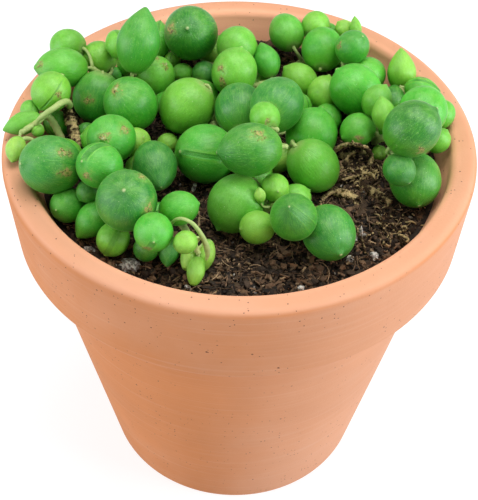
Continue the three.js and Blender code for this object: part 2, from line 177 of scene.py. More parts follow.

# The leaves of each stem, in order from its root. A row gives the middle of a leaf, how wide and
# how long it is, which way its point heads round the pot, how steeply the point rises, and how
# bright it is, from 0 for old and dark to 10 for new, and more for pale buds. The brightness is
# partly each leaf's own tone and partly painted light: some leaves that lie in shade are set
# lighter. A low leaf has its place and width, and its brightness where the usual rule doesn't
# suit it.
LEAFY_STEMS = {
    "stem_west": {"root": (-30.5, 0), "leaves": [
        (-33.5, 5, 71, 4.6, 5, 0, -50, 3),
        (-33, 5, 78.5, 6.6, 7, -120, -25, 8.5),
        (-36.5, 3, 76, 3.2, 3.6, 95, 15, 7.5),
        (-36.5, -1.5, 76.5, 3.8, 6.5, -160, -10, 7.5),
        (-35, -2.5, 76.5, 2, 2.2, -130, 5, 8.5),
        (-37.5, -7.5, 76, 3.4, 4.6, -100, -20, 12.5),
    ], "low": [(-30, -5, 6.4), (-27, 3.5, 3.4, 1)]},
    "stem_north_west": {"root": (-21, 12), "leaves": [
        (-26, 10, 73.5, 8.3, 9.1, -120, -60, 2.5),
        (-26, 18.5, 76, 5.9, 6.3, 140, 15, 9),
        (-31.5, 19.5, 77.5, 6, 6.6, 155, -10, 7.5),
        (-31, 12.5, 77, 7.1, 9, -165, 10, 6.5),
    ], "low": [(-21, 22.5, 4.8), (-28, 16, 4), (-24, 20, 3.4)]},
    "stem_back_left": {"root": (-16.5, 11), "leaves": [
        (-19, 5, 76, 9, 9.8, -145, 60, 2.5),
        (-16, 17, 72.5, 7.3, 7.9, -15, 55, 7.5),
        (-18.5, 14, 83, 7.4, 11, 70, 55, 2.5),
        (-22, 17, 80, 4.7, 5.8, 120, 15, 8),
        (-16, 28.5, 73, 5.3, 7.7, 85, 25, 5.5),
    ], "low": [(-23.5, 4.5, 3.6), (-13.5, 25.5, 3.2, 9), (-20, 9, 3.4)]},
    "stem_back": {"root": (-3, 23), "leaves": [
        (-7, 20.5, 71, 4.3, 4.7, 70, 5, 0.5),
        (-5.5, 27, 71.5, 5, 5.4, -5, 30, 12),
        (-4.5, 30.5, 70.5, 3.2, 3.5, 85, 25, 7),
        (-10, 25.5, 76.5, 9.6, 10.4, -95, 45, 0),
    ], "low": [(0.5, 28, 4.6), (-11.5, 30.5, 3.4), (0, 24, 4), (-11, 21, 3.6)]},
    "stem_back_middle": {"root": (3, 16), "leaves": [
        (-1.5, 13.5, 76, 7.9, 8.6, 60, 60, 7.5),
        (0, 20, 76.5, 7, 7.5, 60, 0, 7.5),
        (5.5, 19.5, 74.5, 4.8, 6.6, 110, 30, 4.5),
    ], "low": [(-2, 19, 5), (3.5, 19, 3.6, 12)]},
    "stem_back_right": {"root": (10, 25), "leaves": [
        (14.5, 23, 75, 7.5, 8.3, 85, 20, 4),
        (8.5, 29, 75, 6.4, 7.8, 110, 10, 7),
        (14, 30, 75.5, 5.2, 5.6, 65, 10, 9),
        (17, 31, 74, 2.2, 3.7, 110, 10, 6),
        (19, 29.5, 75.5, 3.4, 3.8, 155, 40, 12),
        (21, 28, 77, 2.2, 4, 105, 60, 9.5),
    ], "low": [(14, 28.5, 4), (18, 27, 3.4)]},
    "stem_right_back": {"root": (17.5, 18.5), "leaves": [
        (15, 14, 72, 5.9, 6.4, 65, 55, 11),
        (10.5, 18, 72, 5.9, 7, 160, 35, 9.5),
        (19.5, 10.5, 75, 8.7, 9.4, 155, 40, 4.5),
        (23, 17.5, 74.5, 6.3, 6.8, 40, -5, 6),
        (20, 19.5, 78.5, 5.9, 6.4, -25, 60, 2.5),
    ], "low": [(21, 23.5, 4.8), (15.5, 8, 5)]},
    "stem_right_rim": {"root": (27, 7.5), "leaves": [
        (27.5, 12, 73.5, 4.3, 5.5, 80, 20, 0.5),
        (29, 17, 75, 5, 7.8, 100, 60, 10.5),
        (32.5, 12.5, 75, 4.3, 6.1, -15, 5, 5),
    ], "low": [(24.5, 13.5, 3.6), (30, 13, 3.4)]},
    "stem_right_middle": {"root": (24, 4), "leaves": [
        (20, 2, 74.5, 5.6, 6.7, -140, 0, 6),
        (23, 5, 78, 4.9, 5.9, 45, 50, 7.5),
        (24.5, 1.5, 79, 4.1, 5.8, 110, 55, 8.5),
    ], "low": [(24, 7, 4.2), (24.5, 0.5, 2.6, 12), (20, 6, 3.4)]},
    "stem_right_front": {"root": (27, -3.5), "leaves": [
        (31, 1, 79, 8.1, 8.8, 70, 20, 4.5),
        (35, 5, 75.5, 4.9, 5.3, 40, 15, 6),
        (34.5, -0.5, 74.5, 4.2, 4.5, 30, 45, 7.5),
        (28, -8.5, 83.5, 8.7, 9.5, 20, 40, 0),
        (26.5, -12, 78, 5.1, 5.6, -60, -10, 0),
        (29.5, -9.5, 73, 8.5, 9.3, -85, -15, 2),
    ], "low": [(29.5, 4.5, 6)]},
    "stem_centre": {"root": (2.5, 3), "leaves": [
        (0, 5, 76.5, 8.5, 9.3, 95, 15, 0),
        (10.5, 10.5, 72, 5, 5.4, 70, 60, 6),
        (6, 0.5, 79.5, 8.7, 9.8, 60, 15, 1.5),
        (4, -5.5, 82, 4.9, 5.3, 115, 5, 7.5),
    ], "low": [(4, 10.5, 6.2), (2, -1, 4.6)]},
    "stem_centre_right": {"root": (9.5, -2), "leaves": [
        (12.5, 1.5, 74, 8.6, 9.4, 55, 55, 4.5),
        (12.5, -6.5, 73, 8.3, 9.4, -20, -45, 7),
        (7, -3, 71.5, 4.5, 5.5, -145, -45, 13),
    ], "low": []},
    "stem_centre_left": {"root": (-4, 3.5), "leaves": [
        (-7, 12, 71.5, 5.8, 6.3, 40, -10, 6.5),
        (-10, 6.5, 74.5, 9.1, 10, -155, -45, 8.5),
        (-5, 7.5, 70.5, 3.5, 3.8, 90, 0, 13),
        (-6, -5, 73.5, 9.7, 10.7, -145, 30, 4),
        (2, -11.5, 81, 8.5, 10.2, -165, 5, 1.5),
    ], "low": [(-1.5, 10.5, 4.2), (-13.5, 11.5, 4.2)]},
    "stem_left_middle": {"root": (-15, 0.5), "leaves": [
        (-18, -2, 74, 5, 5.5, -40, 50, 12),
        (-21.5, -6, 77.5, 8, 8.7, -105, 40, 5),
        (-14, -10, 75.5, 7.3, 9.5, -75, 0, 0.5),
    ], "low": [(-24, -0.5, 6.2), (-13, -4.5, 4.6), (-17.5, -6, 4.2), (-12.5, 2, 3.4, 11)]},
    "stem_left_front": {"root": (-25.5, -8.5), "leaves": [
        (-24.5, -16, 75, 3.6, 4, -130, -20, 1),
        (-22.5, -15, 79.5, 7.1, 7.7, -140, 40, 3.5),
        (-31, -12.5, 77, 9.4, 10.3, -150, 25, 2),
        (-28.5, -16.5, 71.5, 5.6, 6.2, -120, 25, 3),
        (-24, -18.5, 71.5, 5.3, 7.2, -130, -20, 3),
    ], "low": [(-20, -10.5, 5.6), (-23.5, -6, 4.2)]},
    "stem_front_left": {"root": (-17, -17), "leaves": [
        (-20, -23.5, 71.5, 5.2, 5.6, -115, -25, 8),
        (-17.5, -22, 79, 9.4, 10.3, -90, 60, 0),
        (-14.5, -25, 71, 4, 4.4, 160, -60, 0),
        (-13, -28, 78, 5.9, 6.4, -85, 20, 5),
        (-11, -25, 70.5, 3.5, 5, -95, -20, 2),
    ], "low": [(-13.5, -16.5, 3.4)]},
    "stem_new_growth": {"root": (-11, -13), "leaves": [
        (-9.5, -22.5, 78, 5.4, 6.3, 0, 20, 5),
        (-8, -29.5, 77.5, 2.9, 3.1, -150, -5, 11),
        (-7.5, -26, 70.5, 2.4, 4.2, -105, -15, 13),
        (-5, -26, 71, 2.4, 4.4, -110, -55, 12),
        (-6.5, -29, 70.5, 2.3, 4, -100, -30, 11.5),
    ], "low": []},
    "stem_front": {"root": (4, -16), "leaves": [
        (0, -16, 73, 8.8, 9.8, -125, -25, 7),
        (3.5, -17.5, 76.5, 1.9, 2.6, 115, 70, 13),
        (6, -14.5, 75.5, 4.5, 4.9, -80, 30, 9),
        (3, -21.5, 73.5, 5.3, 5.8, -155, 15, 10.5),
        (9, -24.5, 78.5, 7.2, 9.8, -110, 60, 1),
        (14.5, -22.5, 73, 8.4, 9.4, -70, 0, 1.5),
    ], "low": [(2.5, -7.5, 6.2), (9.5, -13, 5), (9, -19, 4.2)]},
}

# Old bare stems, by points chosen along each from its root to its free end
BARE_STEMS = {
    "bare_stem_left": [
        (-27.5, -2.5, 70), (-28.5, -0.5, 70.5), (-29.5, 1.5, 71.5), (-30.3, 3.5, 73),
        (-30.1, 5.8, 74.5), (-31.4, 6.1, 75),
    ],
    "bare_stem_arch": [
        (16.7, 1.5, 69.8), (17.7, 1.8, 71), (20.3, 2.4, 71.2), (22, 1.4, 71.2), (21.6, 0, 70.8),
        (20.2, -1, 70), (21.3, -3.8, 69.8), (19.2, -5.7, 69.6),
    ],
    "bare_stem_front": [(15.6, -8.6, 69.8), (18.2, -8.8, 70), (19.3, -10, 70), (20.7, -10.7, 69.8)],
    "bare_stem_right": [(20.5, -7, 69.8), (22.5, -7.2, 70), (24.6, -8.5, 70), (26.2, -11, 69.8)],
}

# Pale grains that stand up out of the soil: place, size and how grey each is
GRAINS = [
    (-24, -23, 1.1, 0.5), (-17.3, -26.6, 1.7, 0.42), (-7.6, -30.7, 0.8, 0), (19.3, -18.8, 1, 0),
    (18.4, -23.8, 0.8, 0.1), (22.4, -23.2, 1, 0.1), (10.3, -30.5, 0.8, 0.1), (-12.2, 9.5, 0.9, 0),
    (22.1, -5, 0.7, 0.1), (3.8, 25.5, 1.2, 0),
]

# White slivers that stand in the soil: place, height, half width and lean
SLIVERS = [(20.3, -19.4, 3.6, 0.42, -0.1), (-7.6, -9, 2.4, 0.3, 0.2)]

# Thin dry roots and old stalks that lie on the soil: radius and points
DRY_ROOTS = [
    (0.5, [(16.4, 0.4, 69), (16.8, 0, 71.2), (18.2, -0.8, 73.2), (20.2, -1.6, 74), (21.9, -1.8, 73.3),
           (22.9, -2, 71.8), (22.4, -2.8, 70.2), (21, -4.4, 70.3), (20.2, -6.3, 69.4)]),
    (0.45, [(13.8, -11.9, 69.2), (15, -10.2, 70.1), (16.6, -9.5, 70.4), (18.3, -9.3, 70.3),
            (19.3, -10.2, 69.8), (20.8, -12.2, 69)]),
    (0.4, [(18.1, -2.7, 69.4), (18.7, -1.7, 70.8), (19.8, -0.6, 71.3), (21.3, 0.5, 70.8),
           (23.4, 0.2, 69.2)]),
    (0.3, [(17.5, -4, 69.2), (19.1, -5.9, 70.3), (21.2, -6.9, 69.8), (23.3, -7.9, 69.3)]),
    (0.3, [(15.6, -5.6, 69), (17.2, -6.6, 70.2), (19.4, -6.2, 70.6), (21.7, -4.9, 70.2),
           (23.1, -4.9, 69.2)]),
    (0.22, [(19.9, -17.2, 69.2), (20.5, -20.4, 69.7), (21, -22.7, 69.1)]),
    (0.2, [(-6.6, -15.4, 70.5), (-6.4, -17.5, 70.2), (-6.5, -20.3, 69.2)]),
]

# Where thin dry roots lie in the soil: middle, spread each way and how many
ROOTLETS = [
    (21, -4, 2.2, 2.7, 60), (25.5, -15.5, 1.8, 2.4, 26), (-6, 23, 1.5, 1.3, 16), (-28, -3, 1.2, 2, 12),
]

# Middle, width each way and height of the loose mound of soil round the dry roots
MOUND = (21, -4, 6.5, 8, 1.6)

# Corky scars, by stem and leaf: how far right and up of the leaf's middle each one lies, as shares
# of its half width, looking from the front and halfway down
SCARS = {
    ("stem_west", 1): [(0.5, -0.2)],
    ("stem_north_west", 0): [(-0.25, -0.25)], ("stem_north_west", 3): [(-0.7, 0.05)],
    ("stem_back_left", 0): [(-0.4, 0.4)], ("stem_back_left", 1): [(0.55, 0.4), (0.1, 0.8)],
    ("stem_back", 3): [(-0.7, 0.05)], ("stem_back_middle", 0): [(-0.6, 0.05), (-0.55, -0.45)],
    ("stem_centre", 3): [(0.1, -0.3)], ("stem_right_front", 3): [(0.3, -0.8)],
    ("stem_left_middle", 1): [(0.6, 0.4), (-0.15, 0)],
    ("stem_left_front", 1): [(-0.4, -0.5)], ("stem_left_front", 2): [(0.55, 0.4), (0.6, -0.3)],
    ("stem_front_left", 1): [(0.8, -0.2), (0.55, 0.75)], ("stem_front_left", 3): [(-0.35, -0.75)],
}

# The opening buds of the newest shoot spread wider than closed leaves do
NEWEST_STEM = "stem_new_growth"
LARGEST_BUD = 3
BUD_SPREAD = 1.22

# Young arching stalks that carry no leaf on the way, by stem: radii along each one, then its points
YOUNG_STALKS = {
    "stem_new_growth": [
        ([0.25, 0.31, 0.5, 0.2], [
            (-10.4, -25.5, 77.5), (-9.6, -26.3, 79.2), (-8.4, -27.1, 80.2), (-7, -27.7, 79.9),
            (-5.8, -27.8, 78), (-4.9, -27.9, 75.6), (-4.6, -28, 73.6), (-4.8, -28.1, 72.2),
        ]),
    ],
    "stem_west": [
        ([0.5, 0.54, 0.44, 0.28], [
            (-30.1, 5.2, 75.2), (-29.7, 4.2, 76.3), (-29.7, 2.9, 78.1), (-30, 1.5, 79.4),
            (-30.6, -0.3, 80.4), (-31.4, -1.7, 80.6), (-32.4, -2.3, 80.2), (-33.4, -2.6, 79.4),
            (-34.2, -2.4, 78.4), (-34.7, -2.6, 77.4),
        ]),
        ([0.5, 0.38, 0.38, 0.42], [
            (-37.1, -6.6, 76.8), (-36.3, -5.7, 77), (-35.4, -5.2, 76.6), (-34.5, -5.2, 75.8),
            (-33.6, -5, 74.6),
        ]),
    ],
}

# Where along a young stalk its radii apply, and in how many steps it is drawn
YOUNG_STALK_PLACES = [0, 0.4, 0.8, 1]
YOUNG_STALK_STEPS = 40

# How wide a leaf's stalk is from the stem to the leaf, as shares of its usual width
STALK_WIDTHS = [1.15, 1, 0.92, 0.88, 0.84, 0.84, 0.86, 0.95, 1.2]

DOWN = Vector((0, 0, -1))


def soil_top(x, y):
    """Height of the soil's gently uneven surface."""
    broad = 0.35 * math.sin(0.23 * x + 0.8) * math.cos(0.19 * y)
    fine = 0.12 * math.sin(0.32 * x - 0.25 * y + 1)
    return SOIL_LEVEL + broad + fine


def loose_top(x, y):
    """Height of the loose soil, with the mound that the dry roots hold together."""
    middle_x, middle_y, width_x, width_y, height = MOUND
    from_middle = ((x - middle_x) / width_x) ** 2 + ((y - middle_y) / width_y) ** 2
    ridges = 0.35 * noise.noise(Vector((0.45 * x, 0.45 * y, 5)))
    return soil_top(x, y) + height * math.exp(-from_middle * 1.5) + ridges


def wall_radius(z):
    """Radius of the pot's inner wall between the soil and the lip."""
    share = min(1, (z - SOIL_LEVEL) / (POT_HEIGHT - LIP_EDGE - SOIL_LEVEL))
    return SOIL_WALL_RADIUS + share * (LIP_INNER_RADIUS - SOIL_WALL_RADIUS)


class Leaf:
    """One leaf: its stem, its middle, the way its point heads, and its half width and half length."""

    def __init__(self, stem, row, low=False):
        x, y, z, width, length, heading, rise, brightness = row
        turn = math.radians(heading)
        climb = math.radians(rise)
        self.stem = stem
        self.low = low
        self.brightness = brightness / 10
        self.centre = Vector((x, y, z))
        level = math.cos(climb)
        self.axis = Vector((math.cos(turn) * level, math.sin(turn) * level, math.sin(climb)))
        self.across = FULLNESS * width / 2
        self.along = FULLNESS * length / 2

    def reach(self, direction):
        """How far the leaf reaches from its middle in one direction."""
        share = self.axis.dot(direction)
        round_part = math.hypot(self.across * math.sqrt(max(0, 1 - share * share)), self.along * share)
        return max(round_part, TIP_REACH * self.along * share)


def low_leaf(stem, root, place):
    """A low leaf lies on the soil and points away from its stem's root."""
    x, y, width, *own_brightness = place
    heading = math.degrees(math.atan2(y - root[1], x - root[0]))
    z = soil_top(x, y) + STEM_GAP + FULLNESS * width / 2
    brightness = own_brightness[0] if own_brightness else 4.5 + (7 * x + 11 * y) % 4
    return Leaf(stem, (x, y, z, width, LOW_LENGTH * width, heading, LOW_RISE, brightness), low=True)


def keep_in_pot(centre, reach, gap):
    """Keeps what has its middle here over the soil, inside the pot's wall and clear of the lip."""
    centre.z = max(centre.z, soil_top(centre.x, centre.y) + gap + reach(DOWN))
    radius = math.hypot(centre.x, centre.y)
    if radius > LIP_INNER_RADIUS:
        over_lip = POT_HEIGHT + gap + reach(DOWN)
        if centre.z < over_lip:
            centre.z = min(over_lip, centre.z + LARGEST_MOVE)
        return
    outward = Vector((centre.x / radius, centre.y / radius, 0))
    to_lip = outward * (LIP_INNER_RADIUS - EDGE_DRAFT - radius)
    to_lip.z = min(0, POT_HEIGHT - LIP_CLEARANCE - centre.z)
    distance = max(to_lip.length, 1e-6)
    to_lip /= distance
    short = reach(to_lip) + gap - distance
    if short > 0:
        centre -= to_lip * min(LARGEST_MOVE, short)
    past = radius + reach(outward) + gap - wall_radius(centre.z)
    if centre.z < POT_HEIGHT and past > 0:
        centre -= outward * past


def settle(leaves):
    """Pushes crowded leaves apart: those of one stem press together a little, others stay clear."""
    for _ in range(SETTLE_PASSES):
        for i, one in enumerate(leaves):
            for other in leaves[i + 1:]:
                between = other.centre - one.centre
                distance = between.length
                if distance > LEAF_SEARCH:
                    continue
                between /= distance
                touching = one.reach(between) + other.reach(-between)
                need = touching * PRESS_TOGETHER if one.stem == other.stem else touching + LEAF_GAP
                if distance >= need:
                    continue
                one.centre += between * ((distance - need) / 2)
                other.centre += between * ((need - distance) / 2)
        for leaf in leaves:
            keep_in_pot(leaf.centre, leaf.reach, STEM_GAP)


def near_things(point, places, largest):
    """Numbers of the places that lie close enough to a point to matter, in order."""
    if len(places) == 0:
        return []
    distances = np.linalg.norm(places - np.array(point), axis=1)
    return np.nonzero(distances < largest)[0]


def bend_clear(route, stem, radius, leaves, laid):
    """Bends a stem clear of the leaves of others and of the stems laid before it."""
    centres = np.array([leaf.centre for leaf in leaves])
    laid_places = np.array([tuple(point) for point in laid])
    for turn in range(BEND_PASSES):
        smoothing = 0.3 if turn < SMOOTH_SHARE * BEND_PASSES else 0.05
        for i in range(1, len(route)):
            point = route[i]
            if i < len(route) - 1:
                point += ((route[i - 1] + route[i + 1]) * 0.5 - point) * smoothing
            for k in near_things(point, centres, BEND_LEAF_SEARCH):
                leaf = leaves[k]
                away = point - leaf.centre
                distance = max(away.length, 1e-6)
                away /= distance
                if leaf.stem == stem:
                    need = PRESS_ON_STEM * leaf.reach(away)
                else:
                    need = leaf.reach(away) + radius + STEM_GAP
                if distance < need:
                    point += away * (need - distance)
            for k in near_things(point, laid_places, BEND_STEM_SEARCH):
                away = point - laid[k]
                distance = away.length
                need = radius + STEM_RADIUS + STEM_GAP + STEM_SPREAD
                if distance < need:
                    point += away * ((need - distance) / distance)
            keep_in_pot(point, lambda direction: radius, STEM_GAP)


def curve_at(knots, shares):
    """Points of a centripetal Catmull-Rom curve through the knots."""
    knots = np.array([tuple(knot) for knot in knots], dtype=float)
    ends = (2 * knots[:1] - knots[1:2], 2 * knots[-1:] - knots[-2:-1])
    held = np.concatenate([ends[0], knots, ends[1]])
    last = len(knots) - 1
    places = np.asarray(shares, dtype=float) * last
    span = np.minimum(np.floor(places).astype(int), last - 1)
    weight = (places - span)[:, None]
    p0, p1, p2, p3 = (held[span + k] for k in range(4))
    pairs = ((p0, p1), (p1, p2), (p2, p3))
    d0, d1, d2 = (np.maximum(np.linalg.norm(b - a, axis=1) ** 0.5, 1e-4)[:, None] for a, b in pairs)
    leave = ((p1 - p0) / d0 - (p2 - p0) / (d0 + d1) + (p2 - p1) / d1) * d1
    arrive = ((p2 - p1) / d1 - (p3 - p1) / (d1 + d2) + (p3 - p2) / d2) * d1
    third = 2 * p1 - 2 * p2 + leave + arrive
    second = -3 * p1 + 3 * p2 - 2 * leave - arrive
    return ((third * weight + second) * weight + leave) * weight + p1


def even_steps(knots, step):
    """Points at even steps along the curve through the knots."""
    grid = np.linspace(0, 1, 201)
    fine = curve_at(knots, grid)
    lengths = np.concatenate([[0], np.cumsum(np.linalg.norm(np.diff(fine, axis=0), axis=1))])
    count = math.ceil(lengths[-1] / step)
    shares = np.interp(np.linspace(0, lengths[-1], count + 1), lengths, grid)
    return [Vector(point) for point in curve_at(knots, shares)]


def with_root(route):
    """A straight root in its hole, under the first point of a stem."""
    x, y = route[0].x, route[0].y
    depths = (ROOT_DEPTH, ROOT_DEPTH / 2, 0)
    return [Vector((x, y, soil_top(x, y) - depth)) for depth in depths] + route


def leafy_route(stem, root, leaves, laid):
    """The way a leafy stem takes past the feet of its leaves."""
    own = [leaf for leaf in leaves if leaf.stem == stem and not leaf.low]
    feet = [leaf.centre - leaf.axis * (leaf.along + FOOT_GAP) for leaf in own]
    start = Vector((*root, soil_top(*root) + COLLAR_HEIGHT))
    route = even_steps([start, *feet], STEM_STEP)
    bend_clear(route, stem, STEM_RADIUS, leaves, laid)
    return with_root(route)


def grow_plant():
    """Settles every leaf and lays every stem, in the same order as the solids were made."""
    leaves = []
    for stem, parts in LEAFY_STEMS.items():
        leaves += [Leaf(stem, row) for row in parts["leaves"]]
        leaves += [low_leaf(stem, parts["root"], place) for place in parts["low"]]
    settle(leaves)
    laid = []
    routes = {}
    for stem, parts in LEAFY_STEMS.items():
        routes[stem] = leafy_route(stem, parts["root"], leaves, laid)
        laid += routes[stem]
    for stem, points in BARE_STEMS.items():
        chosen = even_steps(points, STEM_STEP / 2)
        bend_clear(chosen, stem, BARE_RADIUS, leaves, laid)
        routes[stem] = with_root(chosen)
        laid += routes[stem]
    return leaves, routes


leaves, routes = grow_plant()


class Shape:
    """Points in millimetres, faces, and values at the points, gathered into one mesh."""

    def __init__(self):
        self.points = []
        self.faces = []
        self.values = {}
        self.count = 0

    def add(self, points, faces, **values):
        """Adds points and faces, with values for every point or for all of them at once."""
        points = np.asarray(points, dtype=float)
        self.faces += [tuple(corner + self.count for corner in face) for face in faces]
        self.points.append(points)
        for name, value in values.items():
            full = np.broadcast_to(np.asarray(value, dtype=float), (len(points), 3))
            self.values.setdefault(name, []).append(full)
        self.count += len(points)

    def make(self, name, material, smooth=True):
        """Makes the gathered shape into an object of the scene."""
        mesh = bpy.data.meshes.new(name)
        mesh.from_pydata((np.concatenate(self.points) * MM).tolist(), [], self.faces)
        for value_name, parts in self.values.items():
            attribute = mesh.attributes.new(value_name, "FLOAT_VECTOR", "POINT")
            attribute.data.foreach_set("vector", np.concatenate(parts).astype(np.float32).ravel())
        mesh.polygons.foreach_set("use_smooth", [smooth] * len(mesh.polygons))
        mesh.materials.append(material)
        mesh.update()
        piece = bpy.data.objects.new(name, mesh)
        bpy.context.scene.collection.objects.link(piece)
        return piece


def grid_faces(rings, sides):
    """Four-cornered faces between rings of points."""
    faces = []
    for ring in range(rings - 1):
        low = ring * sides
        for side in range(sides):
            after = (side + 1) % sides
            faces.append((low + side, low + after, low + sides + after, low + sides + side))
    return faces


def turned(outline, sides, closed=False):
    """Turns an outline of (radius, height) round Z. Ends on the axis close with one point each."""
    outline = np.asarray(outline, dtype=float)
    angles = np.linspace(0, 2 * math.pi, sides, endpoint=False)
    first, last = outline[0, 0] < 1e-9, outline[-1, 0] < 1e-9
    rings = outline[(1 if first else 0): (-1 if last else None)]
    circle = np.column_stack([np.cos(angles), np.sin(angles)])
    points = [np.column_stack([circle * radius, np.full(sides, height)]) for radius, height in rings]
    points = list(np.concatenate(points))
    faces = grid_faces(len(rings), sides)
    top = (len(rings) - 1) * sides
    if first:
        points.append(np.array([0, 0, outline[0, 1]]))
        faces += [(len(points) - 1, (side + 1) % sides, side) for side in range(sides)]
    if last:
        points.append(np.array([0, 0, outline[-1, 1]]))
        faces += [(top + side, top + (side + 1) % sides, len(points) - 1) for side in range(sides)]
    if closed:
        faces += [(top + side, top + (side + 1) % sides, (side + 1) % sides, side) for side in range(sides)]
    return np.array(points), faces


def tube(route, radii, sides):
    """A round tube along a route, with a flat cap at each end."""
    route = np.array([tuple(point) for point in route])
    tangents = np.gradient(route, axis=0)
    tangents /= np.maximum(np.linalg.norm(tangents, axis=1), 1e-9)[:, None]
    helper = np.array([0.0, 0, 1]) if abs(tangents[0, 2]) < 0.9 else np.array([1.0, 0, 0])
    side_way = np.cross(tangents[0], helper)
    angles = np.linspace(0, 2 * math.pi, sides, endpoint=False)
    points = []
    for place, tangent, radius in zip(route, tangents, np.broadcast_to(radii, len(route))):
        side_way = side_way - tangent * side_way.dot(tangent)
        side_way /= np.linalg.norm(side_way)
        other_way = np.cross(tangent, side_way)
        ring = np.outer(np.cos(angles), side_way) + np.outer(np.sin(angles), other_way)
        points.append(place + radius * ring)
    points = np.concatenate(points)
    faces = grid_faces(len(route), sides)
    top = (len(route) - 1) * sides
    count = len(points)
    points = np.vstack([points, route[0], route[-1]])
    faces += [(count, (side + 1) % sides, side) for side in range(sides)]
    faces += [(top + side, top + (side + 1) % sides, count + 1) for side in range(sides)]
    return points, faces


def old_stem(path, radii, rng):
    """A dry, knobbly stem along a path."""
    thinnest, swelling, knobs = 0.88, 0.3, 0.06
    points, faces = tube(path, radii * (thinnest + swelling * rng.random(len(path))), STEM_SIDES)
    return points + knobs * rng.normal(size=points.shape), faces


def bent(start, corner, end, steps):
    """Points of a line between two points that bends towards a corner."""
    shares = np.linspace(0, 1, steps)[:, None]
    start, corner, end = (np.array(point) for point in (start, corner, end))
    return (1 - shares) ** 2 * start + 2 * shares * (1 - shares) * corner + shares ** 2 * end


def arc(corner, start, end, steps):
    """Points of a quarter round between two points of an outline."""
    return list(bent(start, corner, end, steps))


def straight(start, end, steps):
    """Points between two points of an outline, without either end."""
    shares = np.linspace(0, 1, steps + 2)[1:-1, None]
    return list((1 - shares) * np.array(start) + shares * np.array(end))


def colour_property(name, description, default):
    """A colour that can be changed in the panel."""
    return FloatVectorProperty(
        name=name, description=description, subtype="COLOR", size=3, min=0, max=1, default=default)


def power_property(name, description, default):
    """The power of a light, which can be changed in the panel."""
    return FloatProperty(name=name, description=description, subtype="POWER", min=0, default=default)


class ClaySettings(bpy.types.PropertyGroup):
    colour: colour_property("Clay", "Colour of the dry clay", (0.668, 0.247, 0.087))
    # Chalk colours the real bloom and also the painted light on the side towards the right lamp.
    chalk_and_painted_light: colour_property("Chalk", "Colour of the paler bloom on the clay", (0.80, 0.50, 0.37))
    # The inner wall's colour is a brighter copy of the clay: painted light.
    inner: colour_property("Inner wall", "Colour of the cleaner wall inside the rim", (1.0, 0.48, 0.29))
    pit: colour_property("Pits", "Colour inside the small pits", (0.13, 0.05, 0.03))
    relief: FloatProperty(
        name="Relief", description="Depth of the turning lines and pits", unit="LENGTH", min=0,
        default=0.0001)


class SoilSettings(bpy.types.PropertyGroup):
    peat: colour_property("Peat", "Colour of the peat", (0.023, 0.0145, 0.0087))
    bark: colour_property("Bark", "Colour of the bark chips", (0.145, 0.084, 0.045))
    straw: colour_property("Straw", "Colour of the palest fibres", (0.46, 0.31, 0.17))
    mineral: colour_property("Mineral", "Colour of the pale grains", (0.82, 0.8, 0.76))
    crumbs: IntProperty(name="Crumbs", description="Number of loose crumbs", min=0, default=7500)
    chips: IntProperty(name="Chips", description="Number of bark chips", min=0, default=130)
    slivers: IntProperty(name="Slivers", description="Number of short slivers", min=0, default=9500)
    fibres: IntProperty(name="Fibres", description="Number of fine fibres", min=0, default=900)
    small_grains: IntProperty(
        name="Small grains", description="Number of small pale grains", min=0, default=260)
    roughness: FloatProperty(
        name="Unevenness", description="Height of the surface's small bumps", unit="LENGTH", min=0,
        default=0.0008)


class PlantSettings(bpy.types.PropertyGroup):
    old_leaf: colour_property("Old leaf", "Colour of the darkest leaves", (0.021, 0.21, 0.015))
    leaf: colour_property("Leaf", "Colour of most leaves", (0.072, 0.515, 0.027))
    cool_leaf: colour_property("Cool leaf", "Bluish green that tints some leaves", (0.015, 0.28, 0.060))
    new_leaf: colour_property("New leaf", "Colour of the newest leaves", (0.25, 0.63, 0.05))
    scar: colour_property("Scar", "Colour of corky scars and dry patches", (0.52, 0.38, 0.13))
    stalk: colour_property("Stalk", "Colour of the young stems and stalks", (0.42, 0.55, 0.18))
    dry: colour_property("Dry stem", "Colour of the old bare stems", (0.62, 0.46, 0.22))
    crust: colour_property("Crust", "Colour of the dark flakes on old stems", (0.045, 0.026, 0.012))
    swell: FloatProperty(
        name="Swell", description="How much plumper the leaves are than the solids", min=0.9, max=1.1,
        default=1.01)
    seed: IntProperty(name="Seed", description="Start of the random draws", min=0, default=7)


class StageSettings(bpy.types.PropertyGroup):
    floor: colour_property("Floor", "Colour of the floor", (0.32, 0.32, 0.32))
    sky: FloatProperty(
        name="Sky", description="Strength of the light from all round", min=0, default=0.3)
    key: power_property("Key", "Power of the large light above", 1.45)
    right: power_property("Right", "Power of the light at the right", 2.2)
    left: power_property("Left", "Power of the light at the left", 1.5)
    bounce: FloatProperty(name="Bounce", description="Light that the floor gives back", min=0, default=0.55)


